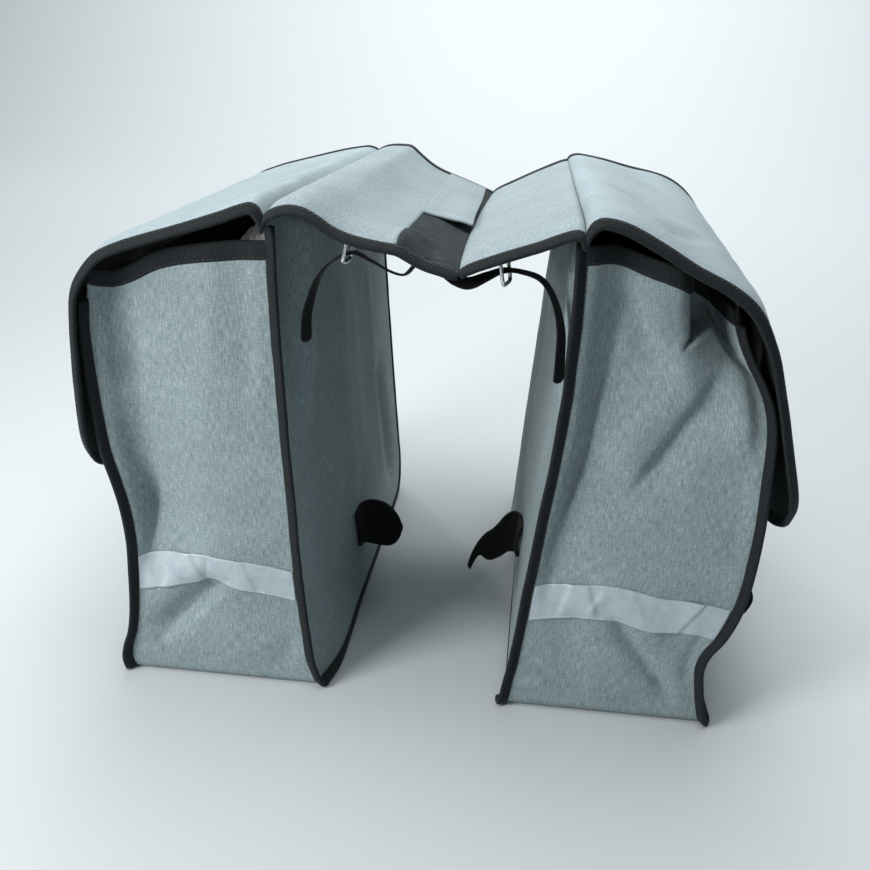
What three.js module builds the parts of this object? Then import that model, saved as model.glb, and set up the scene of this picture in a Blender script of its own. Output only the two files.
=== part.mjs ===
// Double bicycle pannier: two cloth bags joined by a bridge that lies over a luggage carrier.
// Millimetres, +Z up. The left bag is at -X, the right one at +X, and the near end is at -Y.
// The bags stand on the floor, which is at Z = 0.
import * as THREE from 'three';

// Driving dimensions
const BAG_LENGTH = 360; // gusset to gusset, along the bicycle
const SEAM_HEIGHT = 352; // floor to the seam of back panel, lid and bridge
const SEAM_OUT = 99.5; // that seam's distance from the middle at the near end
const SEAM_OUT_FAR = 92; // the same at the far end
const NEAR_RADIUS = 16; // lower corners of the panels at the near end
const FAR_RADIUS = 38; // lower corners of the panels at the far end
const CLOTH = 1.6; // coated polyester cloth
const GAP = 0.4; // clearance between neighbouring pieces
const LID_LENGTH = 378; // lid and bridge, which overhang the gussets a little
const LID_RADIUS = 22; // lower corners of the lid
const EDGE_DROOP = 5; // how far the free ends of lid and bridge curve down
const DROOP_WIDTH = 26; // width of the margin that curves down
const FLAP_DROOP = 0.3; // part of that which is left on the hanging flap
const HEM = 12.5; // height of the tape on the mouth
const HEM_THICKNESS = 3;
const BINDING = 7.5; // width of the tape that stands out from a seam
const LID_BINDING = 10; // width of the tape on the lid and the bridge
const TAPE_THICKNESS = 3.4;
const REFLECTOR_THICKNESS = 0.8;
const STRAP_WIDTH = 10; // straps under the bridge
const STRAP_THICKNESS = 1.5;
const WHEEL_STRAP_WIDTH = 40;
const MIDDLE_X = -7.5; // middle of the bridge, because the right lid reaches further out than the left

const SIDES = { left: -1, right: 1 };
const HALF_LENGTH = BAG_LENGTH / 2;
const LID_HALF = LID_LENGTH / 2;
const FLOOR = CLOTH / 2; // middle of the cloth where it lies on the floor

// Seams at the near end: height, then the back and the front seam's distance from the middle
const BACK = 1;
const FRONT = 2;
const NEAR_SEAMS = {
  left: [
    [0, 70, 213],
    [18, 77, 216],
    [40, 81, 214],
    [67, 85, 209],
    [93, 87, 206],
    [118, 89, 207],
    [150, 91, 211],
    [181, 93, 215],
    [254, 97, 218],
    [296, 98.5, 213],
    [352, 99.5, 210],
  ],
  right: [
    [0, 70, 213],
    [24, 74, 203],
    [36, 76, 204],
    [51, 78, 210],
    [70, 80, 217],
    [96, 83, 222],
    [128, 86.5, 225],
    [159, 90, 227],
    [196, 94.5, 224],
    [252, 99, 216],
    [303, 100.5, 199],
    [352, 99.5, 192],
  ],
};
const FAR_SEAMS = {
  left: [
    [0, 63, 208],
    [150, 76, 212],
    [300, 88, 205],
    [352, 92, 201],
  ],
  right: [
    [0, 70, 208],
    [150, 80, 213],
    [300, 89, 205],
    [352, 92, 201],
  ],
};

// Mouth of the near gusset: part of the way from back seam to front seam, then the hem's top edge
const MOUTH = {
  left: [
    [0, 335],
    [0.25, 331],
    [0.48, 326],
    [0.62, 320],
    [0.76, 308],
    [0.9, 302],
    [1, 303],
  ],
  right: [
    [0, 343],
    [0.18, 343],
    [0.4, 336],
    [0.62, 329],
    [0.8, 316],
    [1, 301],
  ],
};
const FAR_MOUTH = [
  [0, 336],
  [0.5, 324],
  [1, 302],
];

// Reflective strips: part of the way from back seam to front seam, then the lower and upper edge
const LOWER = 1;
const UPPER = 2;
const REFLECTORS = {
  left: [
    [0, 71, 95],
    [0.3, 77, 102],
    [0.55, 80, 104],
    [0.75, 76, 102],
    [1, 69, 97],
  ],
  right: [
    [0, 73, 101],
    [0.4, 79, 107],
    [0.65, 74, 101],
    [1, 72, 96],
  ],
};

// Folds of the near gussets, each a soft line from one place to another:
// distance out and height of both ends, half width, and depth, which is negative where it caves in
const GUSSET_FOLDS = {
  left: [
    [150, 250, 150, 120, 42, 6],
    [204, 285, 199, 105, 12, -7],
    [160, 78, 200, 24, 10, -6],
  ],
  right: [
    [150, 200, 145, 110, 40, 5],
    [182, 330, 190, 282, 15, -22],
    [200, 280, 213, 255, 11, -8],
    [112, 330, 110, 190, 11, -5],
    [187, 250, 150, 184, 11, -6],
    [150, 74, 178, 34, 11, -6],
  ],
};
const FAR_BULGE = 6; // far gussets swell out evenly
const FOLD_FADE = 14; // folds die away this close to a seam

// Soft folds of the back panels, towards the wheel: place along and height of both ends,
// half width and depth
const BACK_FOLDS = {
  left: [
    [-105, 340, -108, 240, 14, 5],
    [120, 130, 135, 40, 16, -5],
    [0, 220, 0, 120, 80, 4],
  ],
  right: [
    [-140, 335, -145, 230, 14, -5],
    [20, 210, 20, 120, 80, 4],
  ],
};
const FRONT_SWELL = 5; // front panels swell out in the middle

// Lid profiles from the seam over the top and down the flap: distance out and height,
// first at the near end and then at the far end
const LID_PROFILES = {
  left: [
    [100.6, 352.5, 93.2, 352.5],
    [109, 358, 102, 359],
    [141, 351, 135, 352],
    [174, 336, 165, 340],
    [202, 323, 192, 330],
    [219, 311, 212, 319],
    [229, 294, 224, 301],
    [234, 265, 230, 268],
    [236, 228, 233, 230],
    [236, 197, 234, 198],
    [234, 175, 233, 173],
  ],
  right: [
    [100.6, 352.5, 93.2, 352.5],
    [107, 360, 102, 361],
    [124, 359, 125, 360],
    [146, 350, 152, 354],
    [168, 338, 180, 346],
    [193, 325, 206, 332],
    [209, 313, 222, 312],
    [220, 288, 232, 283],
    [229.5, 256, 237, 248],
    [240, 221, 241, 212],
    [251, 177, 246, 175],
  ],
};

// Bridge from the left seam to the fold in its middle and up to the right seam: X from the middle, height
const BRIDGE_LEFT = [
  [-98.4, 352.5],
  [-84, 359],
  [-65, 357],
  [-49, 349],
  [-21, 340],
  [-5, 333],
  [24, 322],
];
const BRIDGE_RIGHT = [
  [24, 322],
  [28, 325.4],
  [48, 333],
  [72, 343],
  [98.4, 352.5],
];
const STRIP_EDGE = -16; // seam between the left panel and the middle strip
const BRIDGE_FOLD = 24; // fold between the middle strip and the right panel
const TAB_NEAR_Y = -66; // free edge of the cover tab
const TAB_LIFT = 2.2; // middle of the tab above the middle of the strip

// Straps under the bridge: distance from the middle and height, from the sewn root to the free end
const STRAP_Y = -176;
const STRAP_ROUTES = {
  left: [
    [-6, 322.4],
    [2, 325.4],
    [6, 321],
    [12, 316.5],
    [21, 319],
    [33, 325],
    [46, 330],
    [59, 323],
    [68, 312],
    [73, 298],
    [76, 285],
    [76.5, 269],
  ],
  right: [
    [10, 321.2],
    [18, 317],
    [25, 313.5],
    [33, 312.5],
    [42, 316.5],
    [50, 319],
    [61, 319],
    [74, 316],
    [83, 305],
    [89, 286],
    [90, 269],
    [90, 252],
  ],
};

// Buckles: distance from the middle, and height of the frame's centre
const BUCKLES = {
  left: { out: 46, height: 329.5, hang: 342.6 },
  right: { out: 50, height: 316.6, hang: 329.2 },
};
const BUCKLE_WIDTH = 15.6;
const BUCKLE_HEIGHT = 18;
const BUCKLE_WIRE = 2.2;

// Wheel straps seen from above: distance off the back panel and place along it
const WHEEL_STRAP_HEIGHT = 42;
const WHEEL_STRAP_THICKNESS = 3;
const WHEEL_STRAP_ROUTE = [
  [2.9, -18],
  [2.9, -6],
  [5, 3],
  [12, 9],
  [24, 8],
  [34, 0],
  [38, -10],
];

// Loose end of webbing beside the right front seam: distance from the middle and height
const FRONT_TAB_Y = -166;
const FRONT_TAB_ROUTE = [
  [227.8, 128],
  [229, 118],
  [232, 106],
  [235, 94],
];

// Colours of the finishes
const FINISHES = {
  cloth: { color: 0x9fb0b8, roughness: 0.85, metalness: 0 },
  tape: { color: 0x2f3535, roughness: 0.8, metalness: 0 },
  reflective: { color: 0xb4c0c8, roughness: 0.4, metalness: 0.1 },
  pile: { color: 0x4a5253, roughness: 0.95, metalness: 0 },
  webbing: { color: 0x121414, roughness: 0.7, metalness: 0 },
  steel: { color: 0xd6d9db, roughness: 0.25, metalness: 1 },
};

const { lerp, clamp, smoothstep, degToRad } = THREE.MathUtils;

// A point given by its distance out from the middle on one side
function place(side, out, y, z) {
  return new THREE.Vector3(MIDDLE_X + SIDES[side] * out, y, z);
}

// Smooth value of one column of a table, at a place along its first column
function smooth(rows, column, at) {
  const last = rows.length - 1;
  const first = rows[0][0];
  const x = clamp(at, first, rows[last][0]);
  let i = 0;
  while (i < last - 1 && x > rows[i + 1][0]) {
    i += 1;
  }
  const slope = (k) => {
    const before = rows[Math.max(k - 1, 0)];
    const after = rows[Math.min(k + 1, last)];
    return (after[column] - before[column]) / (after[0] - before[0]);
  };
  const span = rows[i + 1][0] - rows[i][0];
  const f = (x - rows[i][0]) / span;
  const rise = rows[i + 1][column] - rows[i][column];
  const a = slope(i) * span - rise;
  const b = rise - slope(i + 1) * span;
  return rows[i][column] + f * rise + f * (1 - f) * (a * (1 - f) + b * f);
}

// Evenly spaced values from one to another, both included
function steps(from, to, count) {
  return Array.from({ length: count + 1 }, (_, i) => lerp(from, to, i / count));
}

// Sum of soft folds at a place in a plane
function foldDepth(folds, across, up) {
  const at = new THREE.Vector2(across, up);
  let depth = 0;
  for (const [fromAcross, fromUp, toAcross, toUp, width, amount] of folds) {
    const from = new THREE.Vector2(fromAcross, fromUp);
    const along = new THREE.Vector2(toAcross, toUp).sub(from);
    const part = clamp(at.clone().sub(from).dot(along) / along.lengthSq(), 0, 1);
    const away = at.distanceTo(from.addScaledVector(along, part));
    depth += amount * Math.exp(-((away / width) ** 2));
  }
  return depth;
}

// Closed geometry from points and triangles
function solid(points, triangles) {
  const geometry = new THREE.BufferGeometry();
  geometry.setFromPoints(points);
  geometry.setIndex(triangles.flat());
  geometry.computeVertexNormals();
  return geometry;
}

// Closed wall of cloth: a grid of middle points given half its thickness on either side
function clothWall(columns, rows, pointAt, thickness = CLOTH) {
  const width = columns.length;
  const height = rows.length;
  const middle = rows.map((row) => columns.map((column) => pointAt(column, row)));
  const outer = [];
  const inner = [];
  for (let r = 0; r < height; r += 1) {
    for (let c = 0; c < width; c += 1) {
      const across = middle[r][Math.min(c + 1, width - 1)].clone().sub(middle[r][Math.max(c - 1, 0)]);
      const down = middle[Math.min(r + 1, height - 1)][c].clone().sub(middle[Math.max(r - 1, 0)][c]);
      const half = across.cross(down).setLength(thickness / 2);
      outer.push(middle[r][c].clone().add(half));
      inner.push(middle[r][c].clone().sub(half));
    }
  }
  const count = width * height;
  const front = (r, c) => r * width + c;
  const back = (r, c) => count + r * width + c;
  const triangles = [];
  const quad = (a, b, c, d) => triangles.push([a, b, c], [a, c, d]);
  for (let r = 0; r < height - 1; r += 1) {
    for (let c = 0; c < width - 1; c += 1) {
      quad(front(r, c), front(r, c + 1), front(r + 1, c + 1), front(r + 1, c));
      quad(back(r, c), back(r + 1, c), back(r + 1, c + 1), back(r, c + 1));
    }
    quad(front(r, 0), front(r + 1, 0), back(r + 1, 0), back(r, 0));
    const end = width - 1;
    quad(front(r, end), back(r, end), back(r + 1, end), front(r + 1, end));
  }
  for (let c = 0; c < width - 1; c += 1) {
    quad(front(0, c), back(0, c), back(0, c + 1), front(0, c + 1));
    const end = height - 1;
    quad(front(end, c), front(end, c + 1), back(end, c + 1), back(end, c));
  }
  return solid(outer.concat(inner), triangles);
}

// Flat band swept along stations, each a place and the direction of the band's width
function band(stations, from, to, thickness) {
  const points = [];
  const triangles = [];
  const last = stations.length - 1;
  stations.forEach(({ at, across }, k) => {
    const ahead = stations[Math.min(k + 1, last)].at.clone().sub(stations[Math.max(k - 1, 0)].at);
    const half = ahead.cross(across).setLength(thickness / 2);
    const near = at.clone().addScaledVector(across, from);
    const far = at.clone().addScaledVector(across, to);
    points.push(near.clone().sub(half), far.clone().sub(half), far.add(half), near.add(half));
  });
  const quad = (a, b, c, d) => triangles.push([a, b, c], [a, c, d]);
  for (let k = 0; k < last; k += 1) {
    for (let i = 0; i < 4; i += 1) {
      const next = (i + 1) % 4;
      quad(4 * k + i, 4 * k + next, 4 * k + 4 + next, 4 * k + 4 + i);
    }
  }
  quad(0, 3, 2, 1);
  quad(4 * last, 4 * last + 1, 4 * last + 2, 4 * last + 3);
  return solid(points, triangles);
}

// Distance of a panel or seam from the middle; the column says whether back or front
function seamOut(side, column, y, z) {
  const near = smooth(NEAR_SEAMS[side], column, z);
  const far = smooth(FAR_SEAMS[side], column, z);
  return lerp(near, far, y / BAG_LENGTH + 0.5);
}

// How much of a fold is left this far from the edge it dies away at
function fade(distance) {
  return smoothstep(distance, 0, FOLD_FADE);
}

// How far a rounded lower corner cuts into the length of a panel at a height above its lower edge
function cornerInset(above, radius) {
  if (above >= radius) {
    return 0;
  }
  return radius - Math.sqrt(radius ** 2 - (radius - above) ** 2);
}

// Heights at which the walls and seams bend
const HEIGHTS = [26, 40, 54, 72, 98, 130, 170, 215, 255, 290, 320];
const HEIGHT_MARGIN = 8; // no bend closer than this to a top edge

// Back and front panels
const PANEL_SETBACK = 2; // panels stop this far inside the middle of the gusset
const PANEL_COLUMNS = [-1, -0.88, -0.7, -0.4, -0.05, 0.3, 0.6, 0.85, 1];

function panelSwell(side, column, y, z) {
  const edge = fade(HALF_LENGTH - Math.abs(y)) * fade(z) * fade(SEAM_HEIGHT - z);
  if (column === BACK) {
    return -foldDepth(BACK_FOLDS[side], y, z) * edge;
  }
  return FRONT_SWELL * Math.cos((y / BAG_LENGTH) * Math.PI) * Math.sin((z / SEAM_HEIGHT) * Math.PI) * edge;
}

function panel(side, column, top) {
  const bottom = FLOOR + PANEL_SETBACK;
  const nearRadius = NEAR_RADIUS - PANEL_SETBACK;
  const farRadius = FAR_RADIUS - PANEL_SETBACK;
  const half = HALF_LENGTH - PANEL_SETBACK;
  const corner = [0, 0.13, 0.5, 1].map((f) => bottom + f * nearRadius);
  const heights = [...corner, ...HEIGHTS.filter((z) => z < top - HEIGHT_MARGIN), top];
  return clothWall(PANEL_COLUMNS, heights, (u, z) => {
    const nearEnd = -half + cornerInset(z - bottom, nearRadius);
    const farEnd = half - cornerInset(z - bottom, farRadius);
    const y = lerp(nearEnd, farEnd, (u + 1) / 2);
    return place(side, seamOut(side, column, y, z) + panelSwell(side, column, y, z), y, z);
  });
}

// Course of the gusset and the seams: down the near side, along the floor and up the far side.
// The turn is 0 on the near side, a right angle on the floor and a half turn on the far side.
function roundCorner(radius, endY, turn) {
  const centreY = endY - Math.sign(endY) * radius;
  return { y: centreY - radius * Math.cos(turn), z: FLOOR + radius * (1 - Math.sin(turn)), turn };
}

const FLOOR_STATIONS = steps(-HALF_LENGTH + NEAR_RADIUS, HALF_LENGTH - FAR_RADIUS, 4).map((y) => {
  return { y, z: FLOOR, turn: Math.PI / 2 };
});
const LOWER_STATIONS = [
  ...[0, 30, 60].map((angle) => roundCorner(NEAR_RADIUS, -HALF_LENGTH, degToRad(angle))),
  ...FLOOR_STATIONS,
  ...[105, 120, 135, 150, 165, 180].map((angle) => roundCorner(FAR_RADIUS, HALF_LENGTH, degToRad(angle))),
];

// Gusset
const GUSSET_SETBACK = 2.5; // gussets stop this far inside the middle of the panels
const GUSSET_COLUMNS = [0, 0.07, 0.16, 0.28, 0.42, 0.56, 0.66, 0.75, 0.84, 0.93, 1];
// Rows of the near side count from 0, above the lower corner, by the strip's edges 1 and 2, to the hem at 3
const NEAR_ROWS = [3, 2.9, 2.78, 2.66, 2.54, 2.4, 2.25, 2.1, 2, 1, 0.67, 0.42, 0.17];
const FAR_ROWS = [0.15, 0.35, 0.55, 0.78, 1];

function nearGussetPoint(side, part, z) {
  const back = seamOut(side, BACK, -HALF_LENGTH, z);
  const front = seamOut(side, FRONT, -HALF_LENGTH, z);
  const out = lerp(back + GUSSET_SETBACK, front - GUSSET_SETBACK, part);
  const edge = fade(out - back) * fade(front - out) * fade(z - NEAR_RADIUS);
  const bulge = foldDepth(GUSSET_FOLDS[side], out, z) * edge;
  return place(side, out, -HALF_LENGTH - bulge, z);
}

function farGussetPoint(side, part, z) {
  const back = seamOut(side, BACK, HALF_LENGTH, z) + GUSSET_SETBACK;
  const front = seamOut(side, FRONT, HALF_LENGTH, z) - GUSSET_SETBACK;
  const rise = clamp((z - FAR_RADIUS) / (SEAM_HEIGHT - 2 * FAR_RADIUS), 0, 1);
  const bulge = FAR_BULGE * Math.sin(part * Math.PI) * Math.sin(rise * Math.PI);
  return place(side, lerp(back, front, part), HALF_LENGTH + bulge, z);
}

function nearHeight(side, part, row) {
  const edges = [
    FLOOR + NEAR_RADIUS,
    smooth(REFLECTORS[side], LOWER, part),
    smooth(REFLECTORS[side], UPPER, part),
    smooth(MOUTH[side], 1, part) - HEM - 2 * GAP,
  ];
  const below = Math.min(Math.floor(row), 2);
  return lerp(edges[below], edges[below + 1], row - below);
}

function gusset(side) {
  const rows = [
    ...NEAR_ROWS.map((row) => (part) => nearGussetPoint(side, part, nearHeight(side, part, row))),
    ...LOWER_STATIONS.map(({ y, z }) => (part) => {
      const back = seamOut(side, BACK, y, z) + GUSSET_SETBACK;
      const front = seamOut(side, FRONT, y, z) - GUSSET_SETBACK;
      return place(side, lerp(back, front, part), y, z);
    }),
    ...FAR_ROWS.map((row) => (part) => {
      const top = smooth(FAR_MOUTH, 1, part) - HEM - GAP;
      return farGussetPoint(side, part, lerp(FLOOR + FAR_RADIUS, top, row));
    }),
  ];
  return clothWall(GUSSET_COLUMNS, rows, (part, rowAt) => rowAt(part));
}

// Hems on the mouth
const HEM_COLUMNS = [0.006, ...GUSSET_COLUMNS.slice(1, -1), 0.994];

function nearHem(side) {
  return clothWall(HEM_COLUMNS, [0, HEM], (part, below) => {
    return nearGussetPoint(side, part, smooth(MOUTH[side], 1, part) - below);
  }, HEM_THICKNESS);
}

function farHem(side) {
  return clothWall(HEM_COLUMNS, [0, HEM], (part, below) => {
    return farGussetPoint(side, part, smooth(FAR_MOUTH, 1, part) - below);
  }, HEM_THICKNESS);
}

const FRONT_TOP = 300; // top of the front panel's hem
const FRONT_HEM_END = 3; // the hem stops this far inside the gussets

function frontHem(side) {
  const half = HALF_LENGTH - FRONT_HEM_END;
  return clothWall(PANEL_COLUMNS, [FRONT_TOP, FRONT_TOP - HEM], (u, z) => {
    const y = u * half;
    return place(side, seamOut(side, FRONT, y, z) + panelSwell(side, FRONT, y, z), y, z);
  }, HEM_THICKNESS);
}

// Reflective strip on the near gusset, or a plain one at the same height on the far gusset
const REFLECTOR_COLUMNS = GUSSET_COLUMNS.slice(1, -1);
const REFLECTOR_LIFT = CLOTH / 2 + GAP + REFLECTOR_THICKNESS / 2;

function nearReflector(side) {
  return clothWall(REFLECTOR_COLUMNS, [2, 1], (part, row) => {
    const point = nearGussetPoint(side, part, nearHeight(side, part, row));
    return point.setY(point.y - REFLECTOR_LIFT);
  }, REFLECTOR_THICKNESS);
}

const FAR_REFLECTOR_LIFT = 1; // further clearance over the swelling far gusset
const FAR_REFLECTOR_HEIGHTS = [100, 75];

function farReflector(side) {
  return clothWall(REFLECTOR_COLUMNS, FAR_REFLECTOR_HEIGHTS, (part, z) => {
    const point = farGussetPoint(side, part, z);
    return point.setY(point.y + REFLECTOR_LIFT + FAR_REFLECTOR_LIFT);
  }, REFLECTOR_THICKNESS);
}

// Tape round a seam: it stands out at a slant on the sides and lies flat along the floor
const SEAM_SLANT = degToRad(45);
const SEAM_START = 0.1; // where the tape starts from the seam on the sides
const FLOOR_START = 2.2; // and along the floor
const FLOOR_CLEARANCE = 0.3; // under the tape
const FLOOR_LIFT = TAPE_THICKNESS / 2 - FLOOR + FLOOR_CLEARANCE;

function seamBinding(side, column, top) {
  const facing = (column === BACK ? -1 : 1) * SIDES[side];
  const sideHeights = HEIGHTS.filter((z) => z < top - HEIGHT_MARGIN);
  const course = [
    ...[...sideHeights, top].toReversed().map((z) => ({ y: -HALF_LENGTH, z, turn: 0 })),
    ...LOWER_STATIONS,
    ...[...sideHeights.filter((z) => z > FLOOR + FAR_RADIUS + HEIGHT_MARGIN), top].map((z) => {
      return { y: HALF_LENGTH, z, turn: Math.PI };
    }),
  ];
  const stations = course.map(({ y, z, turn }) => {
    const flat = Math.sin(turn) ** 2;
    const slant = lerp(SEAM_SLANT, 0, flat);
    const across = new THREE.Vector3(
      facing * Math.cos(slant),
      -Math.cos(turn) * Math.sin(slant),
      -Math.sin(turn) * Math.sin(slant),
    );
    const at = place(side, seamOut(side, column, y, z), y, z + flat * FLOOR_LIFT);
    at.addScaledVector(across, lerp(SEAM_START, FLOOR_START, flat));
    return { at, across };
  });
  return band(stations, 0, BINDING, TAPE_THICKNESS);
}

// Lid
function profileCurve(side, column) {
  const points = LID_PROFILES[side].map((row) => new THREE.Vector3(row[column], 0, row[column + 1]));
  return new THREE.CatmullRomCurve3(points, false, 'centripetal');
}

const LID_CURVES = {
  left: { near: profileCurve('left', 0), far: profileCurve('left', 2) },
  right: { near: profileCurve('right', 0), far: profileCurve('right', 2) },
};

function droop(y) {
  const part = clamp((Math.abs(y) - LID_HALF + DROOP_WIDTH) / DROOP_WIDTH, 0, 1);
  return EDGE_DROOP * part ** 2;
}

// The hanging flap curves in less than the top; these parts of the profile are where it turns down
const FLAP_BEND_START = 0.42;
const FLAP_BEND_END = 0.6;

function lidDroop(run, y) {
  return droop(y) * lerp(1, FLAP_DROOP, smoothstep(run, FLAP_BEND_START, FLAP_BEND_END));
}

// Point of the lid, by how much of its profile has been run and its place along the bag
function lidPoint(side, run, y) {
  const { near, far } = LID_CURVES[side];
  const blend = y / LID_LENGTH + 0.5;
  const point = near.getPointAt(run).lerp(far.getPointAt(run), blend);
  const along = near.getTangentAt(run).lerp(far.getTangentAt(run), blend).normalize();
  const drop = lidDroop(run, y);
  return place(side, point.x + along.z * drop, y, point.z - along.x * drop);
}

const LID_PROFILE_LENGTH = 272; // from the seam to the flap's lower edge
const CORNER_RUN = LID_RADIUS / LID_PROFILE_LENGTH; // part of the profile that the rounded corners take
const LID_COLUMNS = [-1, -0.94, -0.86, -0.45, 0, 0.45, 0.86, 0.94, 1];
const LID_RUNS = [
  ...[0, 0.035, 0.08, 0.15, 0.23, 0.31, 0.39, 0.45, 0.5, 0.55, 0.62, 0.71, 0.8, 0.88],
  ...[1, 0.55, 0.18, 0].map((part) => 1 - part * CORNER_RUN),
];

function lid(side) {
  return clothWall(LID_COLUMNS, LID_RUNS, (u, run) => {
    const above = (1 - run) * LID_PROFILE_LENGTH;
    return lidPoint(side, run, u * (LID_HALF - cornerInset(above, LID_RADIUS)));
  });
}

// Tape round a free edge: it starts clear of the cloth and leans down from its surface
const SIDE_LEAN = degToRad(48);
const FLAP_LEAN = degToRad(35);
const TAPE_CLEARANCE = 0.5; // from the cloth's edge

function leaningStation(edge, outward, normal, lean) {
  const across = outward.clone().multiplyScalar(Math.cos(lean)).addScaledVector(normal, -Math.sin(lean));
  const start = TAPE_CLEARANCE + (CLOTH / 2) * Math.sin(lean);
  return { at: edge.clone().addScaledVector(across, start), across };
}

// Small steps that give the direction of a surface
const RUN_STEP = 0.002;
const LENGTH_STEP = 0.5;

function lidBinding(side) {
  const half = LID_HALF - LID_RADIUS;
  const straight = 1 - CORNER_RUN;
  const sideRuns = [...steps(0.035, 0.4, 5), ...steps(0.45, straight, 8)];
  const corner = [22.5, 45, 67.5].map(degToRad);
  const course = [
    ...sideRuns.map((run) => ({ run, y: -LID_HALF, turn: 0 })),
    ...corner.map((turn) => {
      return { run: straight + CORNER_RUN * Math.sin(turn), y: -half - LID_RADIUS * Math.cos(turn), turn };
    }),
    ...steps(-half, half, 4).map((y) => ({ run: 1, y, turn: Math.PI / 2 })),
    ...corner.toReversed().map((turn) => {
      const run = straight + CORNER_RUN * Math.sin(turn);
      return { run, y: half + LID_RADIUS * Math.cos(turn), turn: Math.PI - turn };
    }),
    ...sideRuns.toReversed().map((run) => ({ run, y: LID_HALF, turn: Math.PI })),
  ];
  const stations = course.map(({ run, y, turn }) => {
    const edge = lidPoint(side, run, y);
    const before = lidPoint(side, Math.max(run - RUN_STEP, 0), y);
    const after = lidPoint(side, Math.min(run + RUN_STEP, 1), y);
    const down = after.sub(before).normalize();
    const along = lidPoint(side, run, y + LENGTH_STEP).sub(lidPoint(side, run, y - LENGTH_STEP)).normalize();
    const normal = along.clone().cross(down).multiplyScalar(SIDES[side] * -1).normalize();
    const outward = along.multiplyScalar(-Math.cos(turn)).addScaledVector(down, Math.sin(turn)).normalize();
    return leaningStation(edge, outward, normal, lerp(SIDE_LEAN, FLAP_LEAN, Math.sin(turn) ** 2));
  });
  return band(stations, 0, LID_BINDING, TAPE_THICKNESS);
}

// Bridge
const FAR_NARROWING = SEAM_OUT_FAR / SEAM_OUT;

function bridgePoint(rows, x, y, lift = 0) {
  const narrowing = lerp(1, FAR_NARROWING, y / LID_LENGTH + 0.5);
  return new THREE.Vector3(MIDDLE_X + x * narrowing, y, smooth(rows, 1, x) - droop(y) + lift);
}

function bridgeSheet(rows, xs, thickness = CLOTH) {
  const ys = LID_COLUMNS.map((u) => u * LID_HALF);
  return clothWall(xs, ys, (x, y) => bridgePoint(rows, x, y), thickness);
}

const STRIP_THICKNESS = 1.2;
const HALF_GAP = GAP / 2;
const STRIP_XS = steps(STRIP_EDGE + HALF_GAP, BRIDGE_FOLD - GAP, 4);

const TAB_MARGIN = 2; // the cover tab is this much narrower on each side than the strip

function coverTab() {
  const bend = LID_HALF - DROOP_WIDTH;
  const ys = [...steps(TAB_NEAR_Y, bend, 4), bend + DROOP_WIDTH / 2, LID_HALF - TAB_MARGIN];
  const xs = steps(STRIP_EDGE + TAB_MARGIN, BRIDGE_FOLD - TAB_MARGIN, 4);
  return clothWall(xs, ys, (x, y) => bridgePoint(BRIDGE_LEFT, x, y, TAB_LIFT), STRIP_THICKNESS);
}

function bridgeBinding(rows, xs, end) {
  const stations = xs.map((x) => {
    const edge = bridgePoint(rows, x, end * LID_HALF);
    const along = bridgePoint(rows, x + LENGTH_STEP, end * LID_HALF).sub(edge).normalize();
    const outward = new THREE.Vector3(0, end, 0);
    const normal = along.clone().cross(new THREE.Vector3(0, 1, 0)).normalize();
    return leaningStation(edge, outward, normal, SIDE_LEAN);
  });
  return band(stations, 0, LID_BINDING, TAPE_THICKNESS);
}

// Straps
function ribbonStations(side, route, count, y) {
  const points = route.map(([out, z]) => place(side, out, y, z));
  const curve = new THREE.CatmullRomCurve3(points, false, 'centripetal');
  return curve.getSpacedPoints(count).map((at) => ({ at, across: new THREE.Vector3(0, 1, 0) }));
}

function strap(side) {
  const half = STRAP_WIDTH / 2;
  return band(ribbonStations(side, STRAP_ROUTES[side], 22, STRAP_Y), -half, half, STRAP_THICKNESS);
}

function frontTab(side) {
  const half = STRAP_WIDTH / 2;
  return band(ribbonStations(side, FRONT_TAB_ROUTE, 5, FRONT_TAB_Y), -half, half, STRAP_THICKNESS);
}

function wheelStrap(side) {
  const out = (z) => seamOut(side, BACK, 0, z) + panelSwell(side, BACK, 0, z);
  const half = WHEEL_STRAP_WIDTH / 2;
  const lower = place(side, out(WHEEL_STRAP_HEIGHT - half), 0, WHEEL_STRAP_HEIGHT - half);
  const upper = place(side, out(WHEEL_STRAP_HEIGHT + half), 0, WHEEL_STRAP_HEIGHT + half);
  const up = upper.clone().sub(lower).normalize();
  const base = lower.lerp(upper, 0.5);
  const off = new THREE.Vector3(-SIDES[side] * up.z, 0, SIDES[side] * up.x);
  const points = WHEEL_STRAP_ROUTE.map(([distance, y]) => {
    return base.clone().addScaledVector(off, distance).setY(y);
  });
  const curve = new THREE.CatmullRomCurve3(points, false, 'centripetal');
  const stations = curve.getSpacedPoints(14).map((at) => ({ at, across: up }));
  return band(stations, -half, half, WHEEL_STRAP_THICKNESS);
}

// Buckle: a rectangular wire frame with rounded corners, and the webbing loop that it hangs in
function roundedRectangle(path, width, height, radius) {
  const x = width / 2;
  const y = height / 2;
  path.moveTo(-x + radius, -y);
  path.lineTo(x - radius, -y);
  path.absarc(x - radius, -y + radius, radius, -Math.PI / 2, 0);
  path.lineTo(x, y - radius);
  path.absarc(x - radius, y - radius, radius, 0, Math.PI / 2);
  path.lineTo(-x + radius, y);
  path.absarc(-x + radius, y - radius, radius, Math.PI / 2, Math.PI);
  path.lineTo(-x, -y + radius);
  path.absarc(-x + radius, -y + radius, radius, Math.PI, Math.PI * 1.5);
  path.closePath();
  return path;
}

const BUCKLE_CORNER = 3;

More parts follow.
